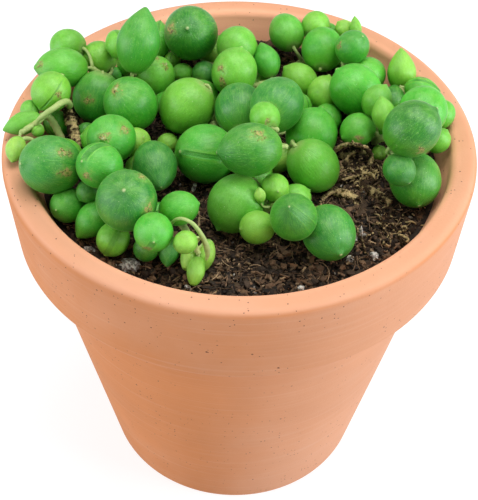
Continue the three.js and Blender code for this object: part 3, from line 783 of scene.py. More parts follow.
class Nodes:
    """Short calls for a material's or a group's nodes."""

    def __init__(self, tree):
        self.tree = tree

    def give(self, socket, value):
        """Links a socket to another one, or sets it to a number or a colour."""
        if isinstance(value, bpy.types.NodeSocket):
            self.tree.links.new(value, socket)
        elif socket.type == "RGBA":
            socket.default_value = (*value[:3], 1)
        else:
            socket.default_value = value

    def node(self, kind, inputs=None, **settings):
        """A node with its settings and inputs."""
        made = self.tree.nodes.new(kind)
        for name, value in settings.items():
            setattr(made, name, value)
        for key, value in (inputs or {}).items():
            self.give(made.inputs[key], value)
        return made

    def math(self, operation, *values):
        """The result of a sum with one, two or three numbers."""
        made = self.node("ShaderNodeMath", dict(enumerate(values)), operation=operation)
        return made.outputs[0]

    def times(self, one, other):
        """The product of two numbers."""
        return self.math("MULTIPLY", one, other)

    def opposite(self, value):
        """1 minus the value."""
        return self.math("SUBTRACT", 1.0, value)

    def vector_math(self, operation, *values, output=0):
        """The result of a sum with vectors."""
        made = self.node("ShaderNodeVectorMath", dict(enumerate(values)), operation=operation)
        return made.outputs[output]

    def scaled(self, vector, factor):
        """A vector or a colour times a number."""
        made = self.node("ShaderNodeVectorMath", {0: vector, "Scale": factor}, operation="SCALE")
        return made.outputs[0]

    def apart(self, vector):
        """The three parts of a vector."""
        return self.node("ShaderNodeSeparateXYZ", {0: vector}).outputs

    def stored(self, name, output="Vector"):
        """Values kept at the points of a mesh."""
        return self.node("ShaderNodeAttribute", attribute_name=name).outputs[output]

    def place(self):
        """The place on the object."""
        return self.node("ShaderNodeTexCoord").outputs["Object"]

    def upward(self):
        """How far the surface looks up: 1 straight up, -1 straight down."""
        return self.apart(self.node("ShaderNodeNewGeometry").outputs["Normal"])[2]

    def mix(self, factor, one, other, blend="MIX"):
        """Two colours mixed: the first one at 0, the other one at 1."""
        made = self.node("ShaderNodeMix", data_type="RGBA", blend_type=blend, clamp_factor=True)
        for key, value in ((0, factor), (6, one), (7, other)):
            self.give(made.inputs[key], value)
        return made.outputs[2]

    def tint(self, base, colour, mask, strength):
        """Takes a colour towards another one where the mask is 1, as far as the strength says."""
        return self.mix(self.times(mask, strength), base, colour)

    def ease(self, value, low, high):
        """0 below low, 1 above high, and a smooth rise between them."""
        limits = {"Value": value, "From Min": low, "From Max": high}
        return self.node("ShaderNodeMapRange", limits, interpolation_type="SMOOTHSTEP").outputs["Result"]

    def noise(self, vector, scale, detail=2.0, roughness=0.5):
        """Cloudy noise from 0 to 1."""
        inputs = {"Vector": vector, "Scale": scale, "Detail": detail, "Roughness": roughness}
        return self.node("ShaderNodeTexNoise", inputs).outputs["Fac"]


def mottle_group():
    """A shared effect: makes a colour patchy, and gives a height that goes with the patches."""
    name = "Mottle"
    if name in bpy.data.node_groups:
        return bpy.data.node_groups[name]
    group = bpy.data.node_groups.new(name, "ShaderNodeTree")
    colour_in = group.interface.new_socket("Colour", in_out="INPUT", socket_type="NodeSocketColor")
    colour_in.default_value = (0.5, 0.5, 0.5, 1)
    group.interface.new_socket("Place", in_out="INPUT", socket_type="NodeSocketVector")
    for label, value in (("Scale", 5), ("Amount", 0.3)):
        socket = group.interface.new_socket(label, in_out="INPUT", socket_type="NodeSocketFloat")
        socket.default_value = value
    group.interface.new_socket("Colour", in_out="OUTPUT", socket_type="NodeSocketColor")
    group.interface.new_socket("Height", in_out="OUTPUT", socket_type="NodeSocketFloat")
    nodes = Nodes(group)
    given = nodes.node("NodeGroupInput").outputs
    patches = nodes.noise(given["Place"], given["Scale"], detail=4, roughness=0.6)
    swing = nodes.times(nodes.math("SUBTRACT", patches, 0.5), given["Amount"])
    gain = nodes.math("ADD", nodes.times(swing, 2), 1)
    patchy = nodes.scaled(given["Colour"], gain)
    nodes.node("NodeGroupOutput", {"Colour": patchy, "Height": patches})
    return group


def mottled(nodes, colour, place, scale, amount):
    """The shared patchy effect: its colour, then its height."""
    inputs = {"Colour": colour, "Place": place, "Scale": scale, "Amount": amount}
    made = nodes.node("ShaderNodeGroup", inputs, node_tree=mottle_group())
    return made.outputs["Colour"], made.outputs["Height"]


def new_material(name):
    """An empty material and the calls for its nodes."""
    material = bpy.data.materials.new(name)
    material.use_nodes = True
    material.node_tree.nodes.clear()
    return material, Nodes(material.node_tree)


def finish_material(nodes, base, height, distance, **constants):
    """Ends a material with a bump and a Principled shader."""
    bump = nodes.node("ShaderNodeBump", {"Height": height, "Distance": distance, "Strength": 1.0})
    surface = {"Base Color": base, "Normal": bump.outputs["Normal"]}
    shader = nodes.node("ShaderNodeBsdfPrincipled", surface)
    for key, value in constants.items():
        shader.inputs[key.replace("_", " ").title().replace("Ior", "IOR")].default_value = value
    nodes.node("ShaderNodeOutputMaterial", {"Surface": shader.outputs[0]})


def round_spots(nodes, place, scale, rarity, largest, draw=0):
    """1 inside small round spots of many sizes, 0 elsewhere."""
    cells = nodes.node("ShaderNodeTexVoronoi", {"Vector": place, "Scale": scale}, feature="F1")
    drawn = nodes.node("ShaderNodeSeparateColor", {0: cells.outputs["Color"]}).outputs[draw]
    size = nodes.times(nodes.ease(drawn, rarity, 1.0), largest)
    return nodes.math("LESS_THAN", cells.outputs["Distance"], size)


def clay_material(settings):
    """Dry terracotta with turning lines round the pot, small pits and a paler chalky bloom; painted light
    pales the upward faces, the side towards the right lamp and the inner wall.
    """
    material, nodes = new_material("Terracotta")
    place = nodes.place()
    patchy, _ = mottled(nodes, settings.colour, place, 45.0, 0.16)
    round_the_pot = (30, 30, 1500)
    stretched = nodes.node("ShaderNodeMapping", {"Vector": place, "Scale": round_the_pot}).outputs[0]
    lines = nodes.noise(stretched, 1.0, detail=3)
    grain = nodes.noise(place, 2600.0, detail=2)
    chalk_patch = nodes.noise(place, 28.0, detail=5, roughness=0.6)
    base = nodes.tint(patchy, settings.chalk_and_painted_light, nodes.ease(chalk_patch, 0.42, 0.72), 0.2)
    base = nodes.tint(base, settings.chalk_and_painted_light, nodes.ease(lines, 0.5, 0.75), 0.15)
    x, y, z = nodes.apart(place)
    radius = nodes.math("SQRT", nodes.math("ADD", nodes.times(x, x), nodes.times(y, y)))
    outside = nodes.ease(radius, (LIP_INNER_RADIUS + 0.2) * MM, (LIP_INNER_RADIUS + 2) * MM)
    inside = nodes.opposite(outside)
    inside = nodes.times(inside, nodes.ease(z, RIM_FOOT * MM, (RIM_FOOT + 1) * MM))
    upward = nodes.upward()
    # Painted highlight: faces that look up are tinted towards a paler clay.
    base = nodes.tint(base, PAINTED_TOP_LIGHT_CLAY, nodes.ease(upward, 0.2, 0.9), 0.4)
    # Painted light: the side that faces the right lamp is tinted towards the chalk colour, except on faces
    # that look up.
    turned_right = nodes.math("SUBTRACT", nodes.times(x, 0.88), nodes.times(y, 0.47))
    painted_side_light = nodes.ease(nodes.math("DIVIDE", turned_right, radius), 0.2, 1.0)
    painted_side_light = nodes.times(painted_side_light, nodes.opposite(nodes.ease(upward, 0.0, 0.4)))
    base = nodes.tint(base, settings.chalk_and_painted_light, painted_side_light, 0.35)
    # Painted light: the wall inside the rim takes a brighter copy of the clay colour.
    base = nodes.mix(inside, base, settings.inner)
    large_pits = round_spots(nodes, place, 700.0, 0.74, 0.14)
    small_pits = round_spots(nodes, place, 1500.0, 0.62, 0.19)
    pits = nodes.math("MAXIMUM", large_pits, small_pits)
    pits = nodes.times(pits, nodes.ease(nodes.noise(place, 55.0, detail=3), 0.37, 0.52))
    base = nodes.tint(base, settings.pit, pits, 0.85)
    height = nodes.math("ADD", nodes.times(lines, 0.6), nodes.times(grain, 0.25))
    height = nodes.math("SUBTRACT", height, nodes.times(pits, 0.8))
    finish_material(nodes, base, height, settings.relief, roughness=0.62, specular_ior_level=0.2)
    return material


def soil_material(settings, name, from_pieces):
    """Damp peat. Loose pieces bring their own colour; the bed has the peat's."""
    material, nodes = new_material(name)
    place = nodes.place()
    if from_pieces:
        colour = nodes.stored("piece_colour", "Color")
    else:
        barky = nodes.ease(nodes.noise(place, 1500.0, detail=4), 0.55, 0.8)
        colour = nodes.mix(barky, settings.peat, settings.bark)
    base, height = mottled(nodes, colour, place, 1400.0, 0.55)
    finish_material(nodes, base, height, 0.0001, roughness=0.8, specular_ior_level=0.35)
    return material


def mineral_material(settings):
    """Pale, porous stone in the shade that each grain brings."""
    material, nodes = new_material("Mineral grains")
    place = nodes.place()
    colour = nodes.mix(1.0, nodes.stored("piece_colour", "Color"), settings.mineral, blend="MULTIPLY")
    solid = nodes.ease(nodes.noise(place, 1900.0, detail=3), 0.42, 0.56)
    colour = nodes.mix(solid, nodes.mix(0.75, colour, PORE), colour)
    base, height = mottled(nodes, colour, place, 900.0, 0.3)
    height = nodes.math("ADD", height, solid)
    finish_material(nodes, base, height, 0.00025, roughness=0.7, specular_ior_level=0.4)
    return material


def leaf_tone(nodes, settings, own, along, brightness, offset):
    """A leaf's main colour, from old and dark to new and pale, with warm and cool patches. Its brightness
    is partly painted light.
    """
    darker = nodes.ease(brightness, 0.0, 0.5)
    lighter = nodes.ease(brightness, 0.45, 1.0)
    base = nodes.mix(darker, settings.old_leaf, settings.leaf)
    base = nodes.mix(lighter, base, settings.new_leaf)
    base = nodes.mix(nodes.ease(brightness, 1.0, 1.4), base, BUD_GREEN)
    base, _ = mottled(nodes, base, own, 1.6, 0.3)
    warm = nodes.ease(nodes.noise(own, 1.3, detail=2), 0.45, 0.75)
    base = nodes.tint(base, WARM_GREEN, warm, 0.4)
    coolness = nodes.times(nodes.ease(nodes.math("FRACT", offset), 0.35, 1.0), 0.3)
    base = nodes.tint(base, settings.cool_leaf, coolness, nodes.opposite(lighter))
    near_foot = nodes.opposite(nodes.ease(along, -1.0, -0.3))
    return nodes.tint(base, FOOT_GREEN, near_foot, 0.35)


def leaf_streaks(nodes, settings, base, place, along, offset):
    """Fine streaks from the foot to the point: the colour with them, then their height."""
    round_part = nodes.vector_math("MULTIPLY", place, (1, 1, 0))
    fine_way = nodes.scaled(nodes.vector_math("NORMALIZE", round_part), 24.0)
    height = nodes.math("ADD", nodes.times(along, 4.5), offset)
    lift = nodes.node("ShaderNodeCombineXYZ", {2: height}).outputs[0]
    streaks = nodes.noise(nodes.vector_math("ADD", fine_way, lift), 1.0, detail=3, roughness=0.6)
    paler = nodes.mix(0.35, base, STREAK_GREEN)
    deeper = nodes.mix(0.6, base, settings.old_leaf)
    base = nodes.mix(nodes.ease(streaks, 0.5, 0.62), base, paler)
    base = nodes.mix(nodes.math("SUBTRACT", 0.6, nodes.ease(streaks, 0.3, 0.5)), base, deeper)
    return base, streaks


def leaf_window(nodes, settings, base, place_parts, window, offset):
    """The dark slit up one side, with paler edges: the colour with it, then where the slit is."""
    x, y, along = place_parts
    breadth = nodes.times(nodes.math("FRACT", nodes.times(offset, 3.7)), 0.13)
    narrowed = nodes.math("SUBTRACT", nodes.math("ABSOLUTE", y), breadth)
    slit = nodes.opposite(nodes.ease(narrowed, 0.0, 0.07))
    on_this_side = nodes.ease(x, 0.0, 0.15)
    slit = nodes.times(slit, on_this_side)
    slit = nodes.times(slit, nodes.ease(along, -0.75, -0.2))
    slit = nodes.times(slit, window)
    edge = nodes.math("SUBTRACT", nodes.ease(narrowed, 0.05, 0.09), nodes.ease(narrowed, 0.09, 0.16))
    edge = nodes.times(nodes.times(edge, on_this_side), window)
    base = nodes.tint(base, settings.old_leaf, slit, 0.75)
    return nodes.tint(base, settings.new_leaf, edge, 0.5), slit


def leaf_dots(nodes, base, own):
    """Small pale dots and finer flecks."""
    dots = round_spots(nodes, own, 6.5, 0.35, 0.09, draw=1)
    base = nodes.tint(base, DOT_GREEN, dots, 0.75)
    flecks = nodes.ease(nodes.noise(own, 34.0, detail=2), 0.62, 0.72)
    return nodes.tint(base, FLECK_GREEN, flecks, 0.45)


def leaf_scars(nodes, settings, base, place, own):
    """Ragged corky scars with a pale halo: the colour with them, then where they are."""
    distances = [nodes.vector_math("DISTANCE", place, nodes.stored(name), output="Value")
                 for name in ("leaf_scar", "leaf_mark")]
    to_scar = nodes.math("MINIMUM", *distances)
    rough_edge = nodes.times(nodes.noise(own, 3.6, detail=5, roughness=0.7), 1.1)
    ragged = nodes.math("ADD", to_scar, rough_edge)
    scar = nodes.opposite(nodes.ease(ragged, 0.66, 0.76))
    halo = nodes.opposite(nodes.ease(ragged, 0.62, 1.0))
    base = nodes.tint(base, SCAR_HALO, halo, 0.45)
    patches = nodes.ease(nodes.noise(own, 9.0, detail=4, roughness=0.7), 0.38, 0.52)
    patchy = nodes.times(scar, patches)
    high_cork = nodes.ease(nodes.noise(own, 14.0, detail=3), 0.40, 0.5)
    corky = nodes.mix(high_cork, SCAR_PIT, settings.scar)
    return nodes.tint(base, corky, patchy, 0.9), scar


def leaf_wax(nodes, settings, base, own, along):
    """A dry point, a pale foot, waxy bloom with painted sheen on top, painted shade on the underside and
    painted rim light at the edges.
    """
    base = nodes.tint(base, TIP_TAN, nodes.ease(along, 0.9968, 0.9997), 0.85)
    foot = nodes.opposite(nodes.ease(along, -0.99, -0.86))
    base = nodes.tint(base, settings.stalk, foot, 0.6)
    upward = nodes.upward()
    # Partly real wax dusting, partly painted sheen: it shows only on faces that look up.
    dusting = nodes.ease(nodes.noise(own, 3.2, detail=6, roughness=0.65), 0.3, 0.72)
    bloom = nodes.times(nodes.ease(upward, 0.15, 1.0), dusting)
    base = nodes.tint(base, WAX_AND_PAINTED_SHEEN, bloom, 0.22)
    # Painted shade: faces that look down are darkened to a deep green.
    under = nodes.opposite(nodes.ease(upward, -0.75, 0.5))
    base = nodes.tint(base, PAINTED_UNDERSIDE_SHADE, under, 0.55)
    # Painted rim light: edges seen at a glancing angle are tinted paler green.
    facing = nodes.node("ShaderNodeLayerWeight", {"Blend": 0.35}).outputs["Facing"]
    return nodes.tint(base, PAINTED_RIM_LIGHT_GREEN, nodes.ease(facing, 0.6, 0.95), 0.5)


def leaf_material(settings):
    """Waxy leaf skin, drawn in each leaf's own place: its point, foot, window, streaks and scars."""
    material, nodes = new_material("Leaf skin")
    place = nodes.stored("leaf_place")
    look = nodes.stored("leaf_look")
    place_parts = nodes.apart(place)
    along = place_parts[2]
    brightness, window, offset = nodes.apart(look)
    shift = nodes.node("ShaderNodeCombineXYZ", {0: offset, 1: offset, 2: offset}).outputs[0]
    own = nodes.vector_math("ADD", place, shift)
    base = leaf_tone(nodes, settings, own, along, brightness, offset)
    base, streaks = leaf_streaks(nodes, settings, base, place, along, offset)
    base, slit = leaf_window(nodes, settings, base, place_parts, window, offset)
    base = leaf_dots(nodes, base, own)
    base, scar = leaf_scars(nodes, settings, base, place, own)
    base = leaf_wax(nodes, settings, base, own, along)
    base, _ = mottled(nodes, base, own, 34.0, 0.3)
    height = nodes.math("SUBTRACT", nodes.times(streaks, 0.5), nodes.times(slit, 0.8))
    height = nodes.math("ADD", height, nodes.times(scar, nodes.noise(own, 24.0, detail=3)))
    finish_material(nodes, base, height, 0.00016, roughness=0.35, specular_ior_level=0.5,
                    subsurface_weight=0.08, subsurface_scale=0.001)
    return material


def young_skin(settings, name):
    """Skin of young stems and stalks: green and smooth."""
    material, nodes = new_material(name)
    place = nodes.place()
    patch = nodes.times(nodes.ease(nodes.noise(place, 260.0, detail=3), 0.5, 0.75), 0.3)
    colour = nodes.mix(patch, settings.stalk, settings.scar)
    base, height = mottled(nodes, colour, place, 1700.0, 0.25)
    finish_material(nodes, base, height, 0.0001, roughness=0.5, specular_ior_level=0.4)
    return material


def dry_skin(settings, name):
    """Skin of old stems and roots: tan, dry and wrinkled."""
    material, nodes = new_material(name)
    place = nodes.place()
    patch = nodes.ease(nodes.noise(place, 620.0, detail=5, roughness=0.65), 0.45, 0.58)
    colour = nodes.mix(patch, settings.crust, settings.dry)
    base, height = mottled(nodes, colour, place, 1700.0, 0.6)
    finish_material(nodes, base, height, 0.0004, roughness=0.85, specular_ior_level=0.2)
    return material


def pot_outline():
    """The pot's turned outline, from the foot up the outside and down the inside."""
    drain = (DRAIN_RADIUS, 0)
    under_foot = (FOOT_RADIUS - LOWER_EDGE, 0)
    wall_foot = (FOOT_RADIUS + EDGE_DRAFT, LOWER_EDGE)
    neck = (NECK_RADIUS, RIM_FOOT)
    under_neck = (NECK_RADIUS - 0.25, RIM_FOOT - 1.2)
    past_neck = (NECK_RADIUS + 0.6, RIM_FOOT)
    under_rim = (RIM_FOOT_RADIUS - LOWER_EDGE, RIM_FOOT)
    rim_low = (RIM_FOOT_RADIUS, RIM_FOOT + LOWER_EDGE)
    rim_high = (RIM_RADIUS, POT_HEIGHT - LIP_EDGE)
    lip_outside = (RIM_RADIUS - LIP_EDGE, POT_HEIGHT)
    lip_inside = (LIP_INNER_RADIUS + LIP_EDGE, POT_HEIGHT)
    wall_top = (LIP_INNER_RADIUS, POT_HEIGHT - LIP_EDGE)
    soil_line = (SOIL_WALL_RADIUS, SOIL_LEVEL)
    points = [np.array(drain), *straight(drain, under_foot, 6)]
    points += arc((FOOT_RADIUS, 0), under_foot, wall_foot, 7)
    points += straight(wall_foot, neck, 30)
    points += arc(neck, under_neck, past_neck, 6)
    points += arc((RIM_FOOT_RADIUS, RIM_FOOT), under_rim, rim_low, 7)
    points += straight(rim_low, rim_high, 10)
    points += arc((RIM_RADIUS, POT_HEIGHT), rim_high, lip_outside, 9)
    points += arc((LIP_INNER_RADIUS + EDGE_DRAFT, POT_HEIGHT), lip_inside, wall_top, 9)
    points += straight(wall_top, soil_line, 3)
    points += [np.array(soil_line), np.array((SHOULDER_RADIUS, RIM_FOOT))]
    return points + [np.array((radius, FLOOR_THICKNESS)) for radius in (FLOOR_RADIUS, DRAIN_RADIUS)]


def lump(size, rng, detail=1):
    """A small irregular grain."""
    turns = 5 if detail == 1 else 12
    heights = np.linspace(-1, 1, 4 if detail == 1 else 9)
    outline = [(math.sqrt(max(0, 1 - h * h)), h) for h in heights]
    points, faces = turned(outline, turns)
    points = points * (1 + 0.35 * (rng.random((len(points), 1)) - 0.5))
    stretch = np.array([1 + 0.5 * rng.random(), 0.8 + 0.3 * rng.random(), 0.6 + 0.35 * rng.random()])
    spin = Matrix.Rotation(rng.random() * WHOLE_TURN, 3, "Z")
    spin = spin @ Matrix.Rotation(rng.random() * 1.2, 3, "X")
    return (points * stretch * size) @ np.array(spin).T, faces


def chip(length, width, thickness, rng):
    """A flat, broken bark chip."""
    square = ((-1, -1), (1, -1), (1, 1), (-1, 1))
    corners = np.array([(x, y, z) for z in (-1, 1) for x, y in square], dtype=float)
    corners *= np.array([length, width, thickness]) / 2
    corners *= 1 + 0.6 * (rng.random((8, 1)) - 0.5)
    faces = [(3, 2, 1, 0), (4, 5, 6, 7), (0, 1, 5, 4), (1, 2, 6, 5), (2, 3, 7, 6), (3, 0, 4, 7)]
    spin = Matrix.Rotation(rng.random() * WHOLE_TURN, 3, "Z")
    spin = spin @ Matrix.Rotation((rng.random() - 0.5) * 1.1, 3, "X")
    spin = spin @ Matrix.Rotation((rng.random() - 0.5) * 0.8, 3, "Y")
    return corners @ np.array(spin).T, faces


def soil_place(rng, margin):
    """A random place on the soil, with a margin left at the pot's wall."""
    radius = (SOIL_WALL_RADIUS - margin) * math.sqrt(rng.random())
    angle = rng.random() * 2 * math.pi
    return radius * math.cos(angle), radius * math.sin(angle)


def seen_way(right, up):
    """The way from a leaf's middle to a place on it, seen from the front and halfway down."""
    half = math.sqrt(0.5)
    forward = math.sqrt(max(0, 1 - right ** 2 - up ** 2))
    return Vector((right, half * (up - forward), half * (up + forward)))


def leaf_ball(leaf):
    """A ball whose rings lie closer together at the point, and its faces."""
    sides, rings = LARGE_LEAF_GRID if leaf.across > LARGE_LEAF else SMALL_LEAF_GRID
    angles = np.linspace(0, math.pi, rings)
    angles = angles + 0.35 * np.sin(angles) * np.sin(angles / 2)
    angles[-1] = math.pi
    outline = np.column_stack([np.sin(angles), -np.cos(angles)])
    outline[0, 0] = outline[-1, 0] = 0
    return turned(outline, sides)


def leaf_form(leaf, place, swell, rng):
    """Draws a ball out into a leaf: uneven, slimmer when it's long, with a point and a foot."""
    slender = min(1, max(0, leaf.along / leaf.across - 1.1) / 0.28)
    upper = np.clip(place[:, 2], 0, 1)
    narrow = 1 - 0.3 * slender * upper ** 1.5
    lower = np.clip(-place[:, 2], 0, 1)
    narrow *= 1 - 0.1 * slender * lower ** 2
    phases = rng.random(6) * WHOLE_TURN
    uneven = np.sin(2.3 * place[:, 0] + phases[0]) + np.sin(2.1 * place[:, 1] + phases[1])
    uneven = 1 + 0.009 * (uneven + np.sin(2.7 * place[:, 2] + phases[2]))
    points = place * np.array([leaf.across, leaf.across, leaf.along]) * swell
    points[:, :2] *= (narrow * uneven)[:, None]
    from_tip = np.arccos(np.clip(place[:, 2], -1, 1))
    tip_width = 0.11 + 0.2 * slender
    point_length = TIP_REACH / swell - 1
    points[:, 2] += leaf.along * swell * point_length * np.exp(-(from_tip / tip_width) ** 2)
    from_foot = math.pi - from_tip
    foot_length, foot_width = 0.05, 0.22
    points[:, 2] += foot_length * leaf.along * np.exp(-(from_foot / foot_width) ** 2)
    return points


def leaf_shape(leaf, swell, scars, rng):
    """Points, faces and looks of one leaf, standing in its place."""
    place, faces = leaf_ball(leaf)
    points = leaf_form(leaf, place, swell, rng)
    strength = 0.35 + 0.65 * rng.random() if rng.random() < WINDOW_SHARE else 0.0
    groove = np.exp(-(place[:, 1] / 0.09) ** 2) * (place[:, 0] > 0) * np.clip(place[:, 2] + 0.6, 0, 1)
    points[:, :2] *= (1 - 0.022 * strength * groove)[:, None]
    turn = Vector((0, 0, 1)).rotation_difference(leaf.axis).to_matrix()
    turn = turn @ Matrix.Rotation(rng.random() * 2 * math.pi, 3, "Z")
    points = points @ np.array(turn).T + np.array(leaf.centre)
    points[:, 2] -= max(0, points[:, 2].max() - cad_box[1][2] / MM)
    places = [turn.transposed() @ seen_way(*scar) for scar in scars]
    scarred = rng.random() < SCARRED_SHARE and leaf.brightness < 0.8
    drawn = Vector(rng.normal(size=3)).normalized()
    if scarred and not places:
        places.append(drawn)
    places += [FAR_AWAY] * (2 - len(places))
    look = (leaf.brightness + 0.08 * (rng.random() - 0.5), strength, 20 * rng.random())
    values = {"leaf_place": place, "leaf_look": look, "leaf_scar": places[0], "leaf_mark": places[1]}
    return points, faces, values


def stalk_points(leaf, route):
    """The short stalk from the nearest place on the stem into the foot of a leaf."""
    foot = leaf.centre - leaf.axis * (0.9 * leaf.along)
    start = min(route[4:], key=lambda point: (point - foot).length)
    reach = (foot - start).length
    bend = foot - leaf.axis * (0.35 * reach)
    return bent(start, bend, foot, len(STALK_WIDTHS))


class BuildPot(bpy.types.Operator):
    """Turns the terracotta pot with its collar rim."""
    bl_idname = "pearls.build_pot"
    bl_label = "Build Pot"

    def execute(self, context):
        shape = Shape()
        points, faces = turned(pot_outline(), POT_SIDES, closed=True)
        height = np.clip(points[:, 2] / POT_HEIGHT, 0, 1)
        angle = np.arctan2(points[:, 1], points[:, 0])
        wobble = 1 + 0.0012 * np.sin(3 * angle + 5 * height) * (1 - height)
        points[:, :2] *= np.minimum(wobble, 1)[:, None]
        shape.add(points, faces)
        pot = shape.make("terracotta_pot", clay_material(context.scene.pearls_clay))
        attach(pot, "root")
        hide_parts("pot")
        return {"FINISHED"}


class BuildSoil(bpy.types.Operator):
    """Fills the pot with peat, bark chips, fibres and pale grains."""
    bl_idname = "pearls.build_soil"
    bl_label = "Build Soil"

    def execute(self, context):
        settings = context.scene.pearls_soil
        for make in (self.bed, self.bits, self.fibres, self.grains):
            piece = make(settings)
            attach(piece, "root")
            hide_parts("soil")
        return {"FINISHED"}

    def bed(self, settings):
        """The closed fill with its bumpy top."""
        edge = SOIL_WALL_RADIUS - 0.05
        floor = FLOOR_THICKNESS + 0.2
        below = [(0, floor), (FLOOR_RADIUS - 0.3, floor), (SHOULDER_RADIUS - 0.2, RIM_FOOT)]
        top = [(edge * share, SOIL_LEVEL) for share in np.linspace(1, 0, BED_RINGS)]
        points, faces = turned(below + top, BED_SIDES)
        on_top = points[:, 2] > SOIL_LEVEL - 0.01
        bumps = settings.roughness / MM
        for i in np.nonzero(on_top)[0]:
            x, y = points[i, :2]
            broad = noise.noise(Vector((0.9 * x, 0.9 * y, 3)))
            fine = noise.noise(Vector((2.4 * x, 2.4 * y, 9)))
            points[i, 2] = loose_top(x, y) - 0.2 + bumps * (0.8 * broad + 0.7 * fine)
        shape = Shape()
        shape.add(points, faces)
        return shape.make("soil_bed", soil_material(settings, "Peat", False))

    def bits(self, settings):
        """Loose crumbs and bark chips."""
        rng = np.random.default_rng(BITS_SEED)
        shape = Shape()
        peat = np.array(settings.peat)
        bark = np.array(settings.bark)
        for _ in range(settings.crumbs):
            x, y = soil_place(rng, 0.9)
            size = 0.14 + 0.62 * rng.random() ** 3
            points, faces = lump(size, rng)
            colour = peat * (0.3 + 1.8 * rng.random()) + (bark - peat) * 1.9 * rng.random() ** 4
            shape.add(points + (x, y, loose_top(x, y) + 0.3 * size), faces, piece_colour=colour)
        for _ in range(settings.chips):
            x, y = soil_place(rng, 1.8)
            length = 0.6 + 1.6 * rng.random() ** 2
            points, faces = chip(length, 0.25 + 0.22 * length, 0.15 + 0.2 * rng.random(), rng)
            colour = bark * (0.35 + 1.1 * rng.random()) + np.array(REDDISH) * rng.random()
            height = loose_top(x, y) + 0.1 + 0.3 * rng.random()
            shape.add(points + (x, y, height), faces, piece_colour=colour)
        return shape.make("soil_bits", soil_material(settings, "Loose soil", True), smooth=False)

    def fibres(self, settings):
        """Short slivers and fine curved fibres."""
        rng = np.random.default_rng(FIBRES_SEED)
        shape = Shape()
        bark = np.array(settings.bark)
        straw = np.array(settings.straw)
        for _ in range(settings.slivers):
            x, y = soil_place(rng, 1)
            length = 0.3 + 1.1 * rng.random() ** 2
            width = 0.1 + 0.28 * length * rng.random()
            points, faces = chip(length, width, 0.14 + 0.14 * rng.random(), rng)
            dark = bark * (0.08 + 1.4 * rng.random() ** 1.5)
            colour = straw * (0.35 + 0.8 * rng.random()) if rng.random() < 0.08 else dark
            height = loose_top(x, y) + 0.12 + 0.4 * rng.random()
            shape.add(points + (x, y, height), faces, piece_colour=colour)
        for _ in range(settings.fibres):
            x, y = soil_place(rng, 3)
            heading = rng.random() * 2 * math.pi
            length = 1.5 + 3.5 * rng.random()
            bend = (rng.random() - 0.5) * 1.6
            shares = np.linspace(-0.5, 0.5, 6)
            angle = heading + bend * shares
            heights = loose_top(x, y) + 0.25 + 1.6 * rng.random() * (0.25 - shares ** 2)
            along = length * shares
            path = np.column_stack([x + along * np.cos(angle), y + along * np.sin(angle), heights])
            points, faces = tube(path, 0.04 + 0.05 * rng.random(), 3)
            colour = bark * (0.5 + rng.random()) + (straw - bark) * rng.random() ** 2
            shape.add(points, faces, piece_colour=colour)
        return shape.make("soil_fibres", soil_material(settings, "Fibres", True), smooth=False)

    def grains(self, settings):
        """The large pale grains, the white slivers and the small grains between."""
        rng = np.random.default_rng(GRAINS_SEED)
        shape = Shape()
        for x, y, size, grey in GRAINS:
            points, faces = lump(size * 0.85, rng, detail=2)
            shade = np.array(GRAIN_TINT) * (1 - 0.75 * grey)
            shape.add(points + (x, y, loose_top(x, y) + 0.15 * size), faces, piece_colour=shade)
        for x, y, height, width, lean in SLIVERS:
            points, faces = lump(1, rng, detail=2)
            points = points * np.array([width, 0.5 * width, height / 2])
            points[:, 0] += lean * points[:, 2]
            shape.add(points + (x, y, soil_top(x, y) + height / 2), faces, piece_colour=SLIVER_WHITE)
        for _ in range(settings.small_grains):
            x, y = soil_place(rng, 1.2)
            points, faces = lump(0.12 + 0.25 * rng.random() ** 2, rng)
            shade = np.array(SMALL_GRAIN_TINT) * (0.35 + 0.6 * rng.random())
            shape.add(points + (x, y, loose_top(x, y) + 0.3), faces, piece_colour=shade)
        return shape.make("soil_grains", mineral_material(settings), smooth=False)


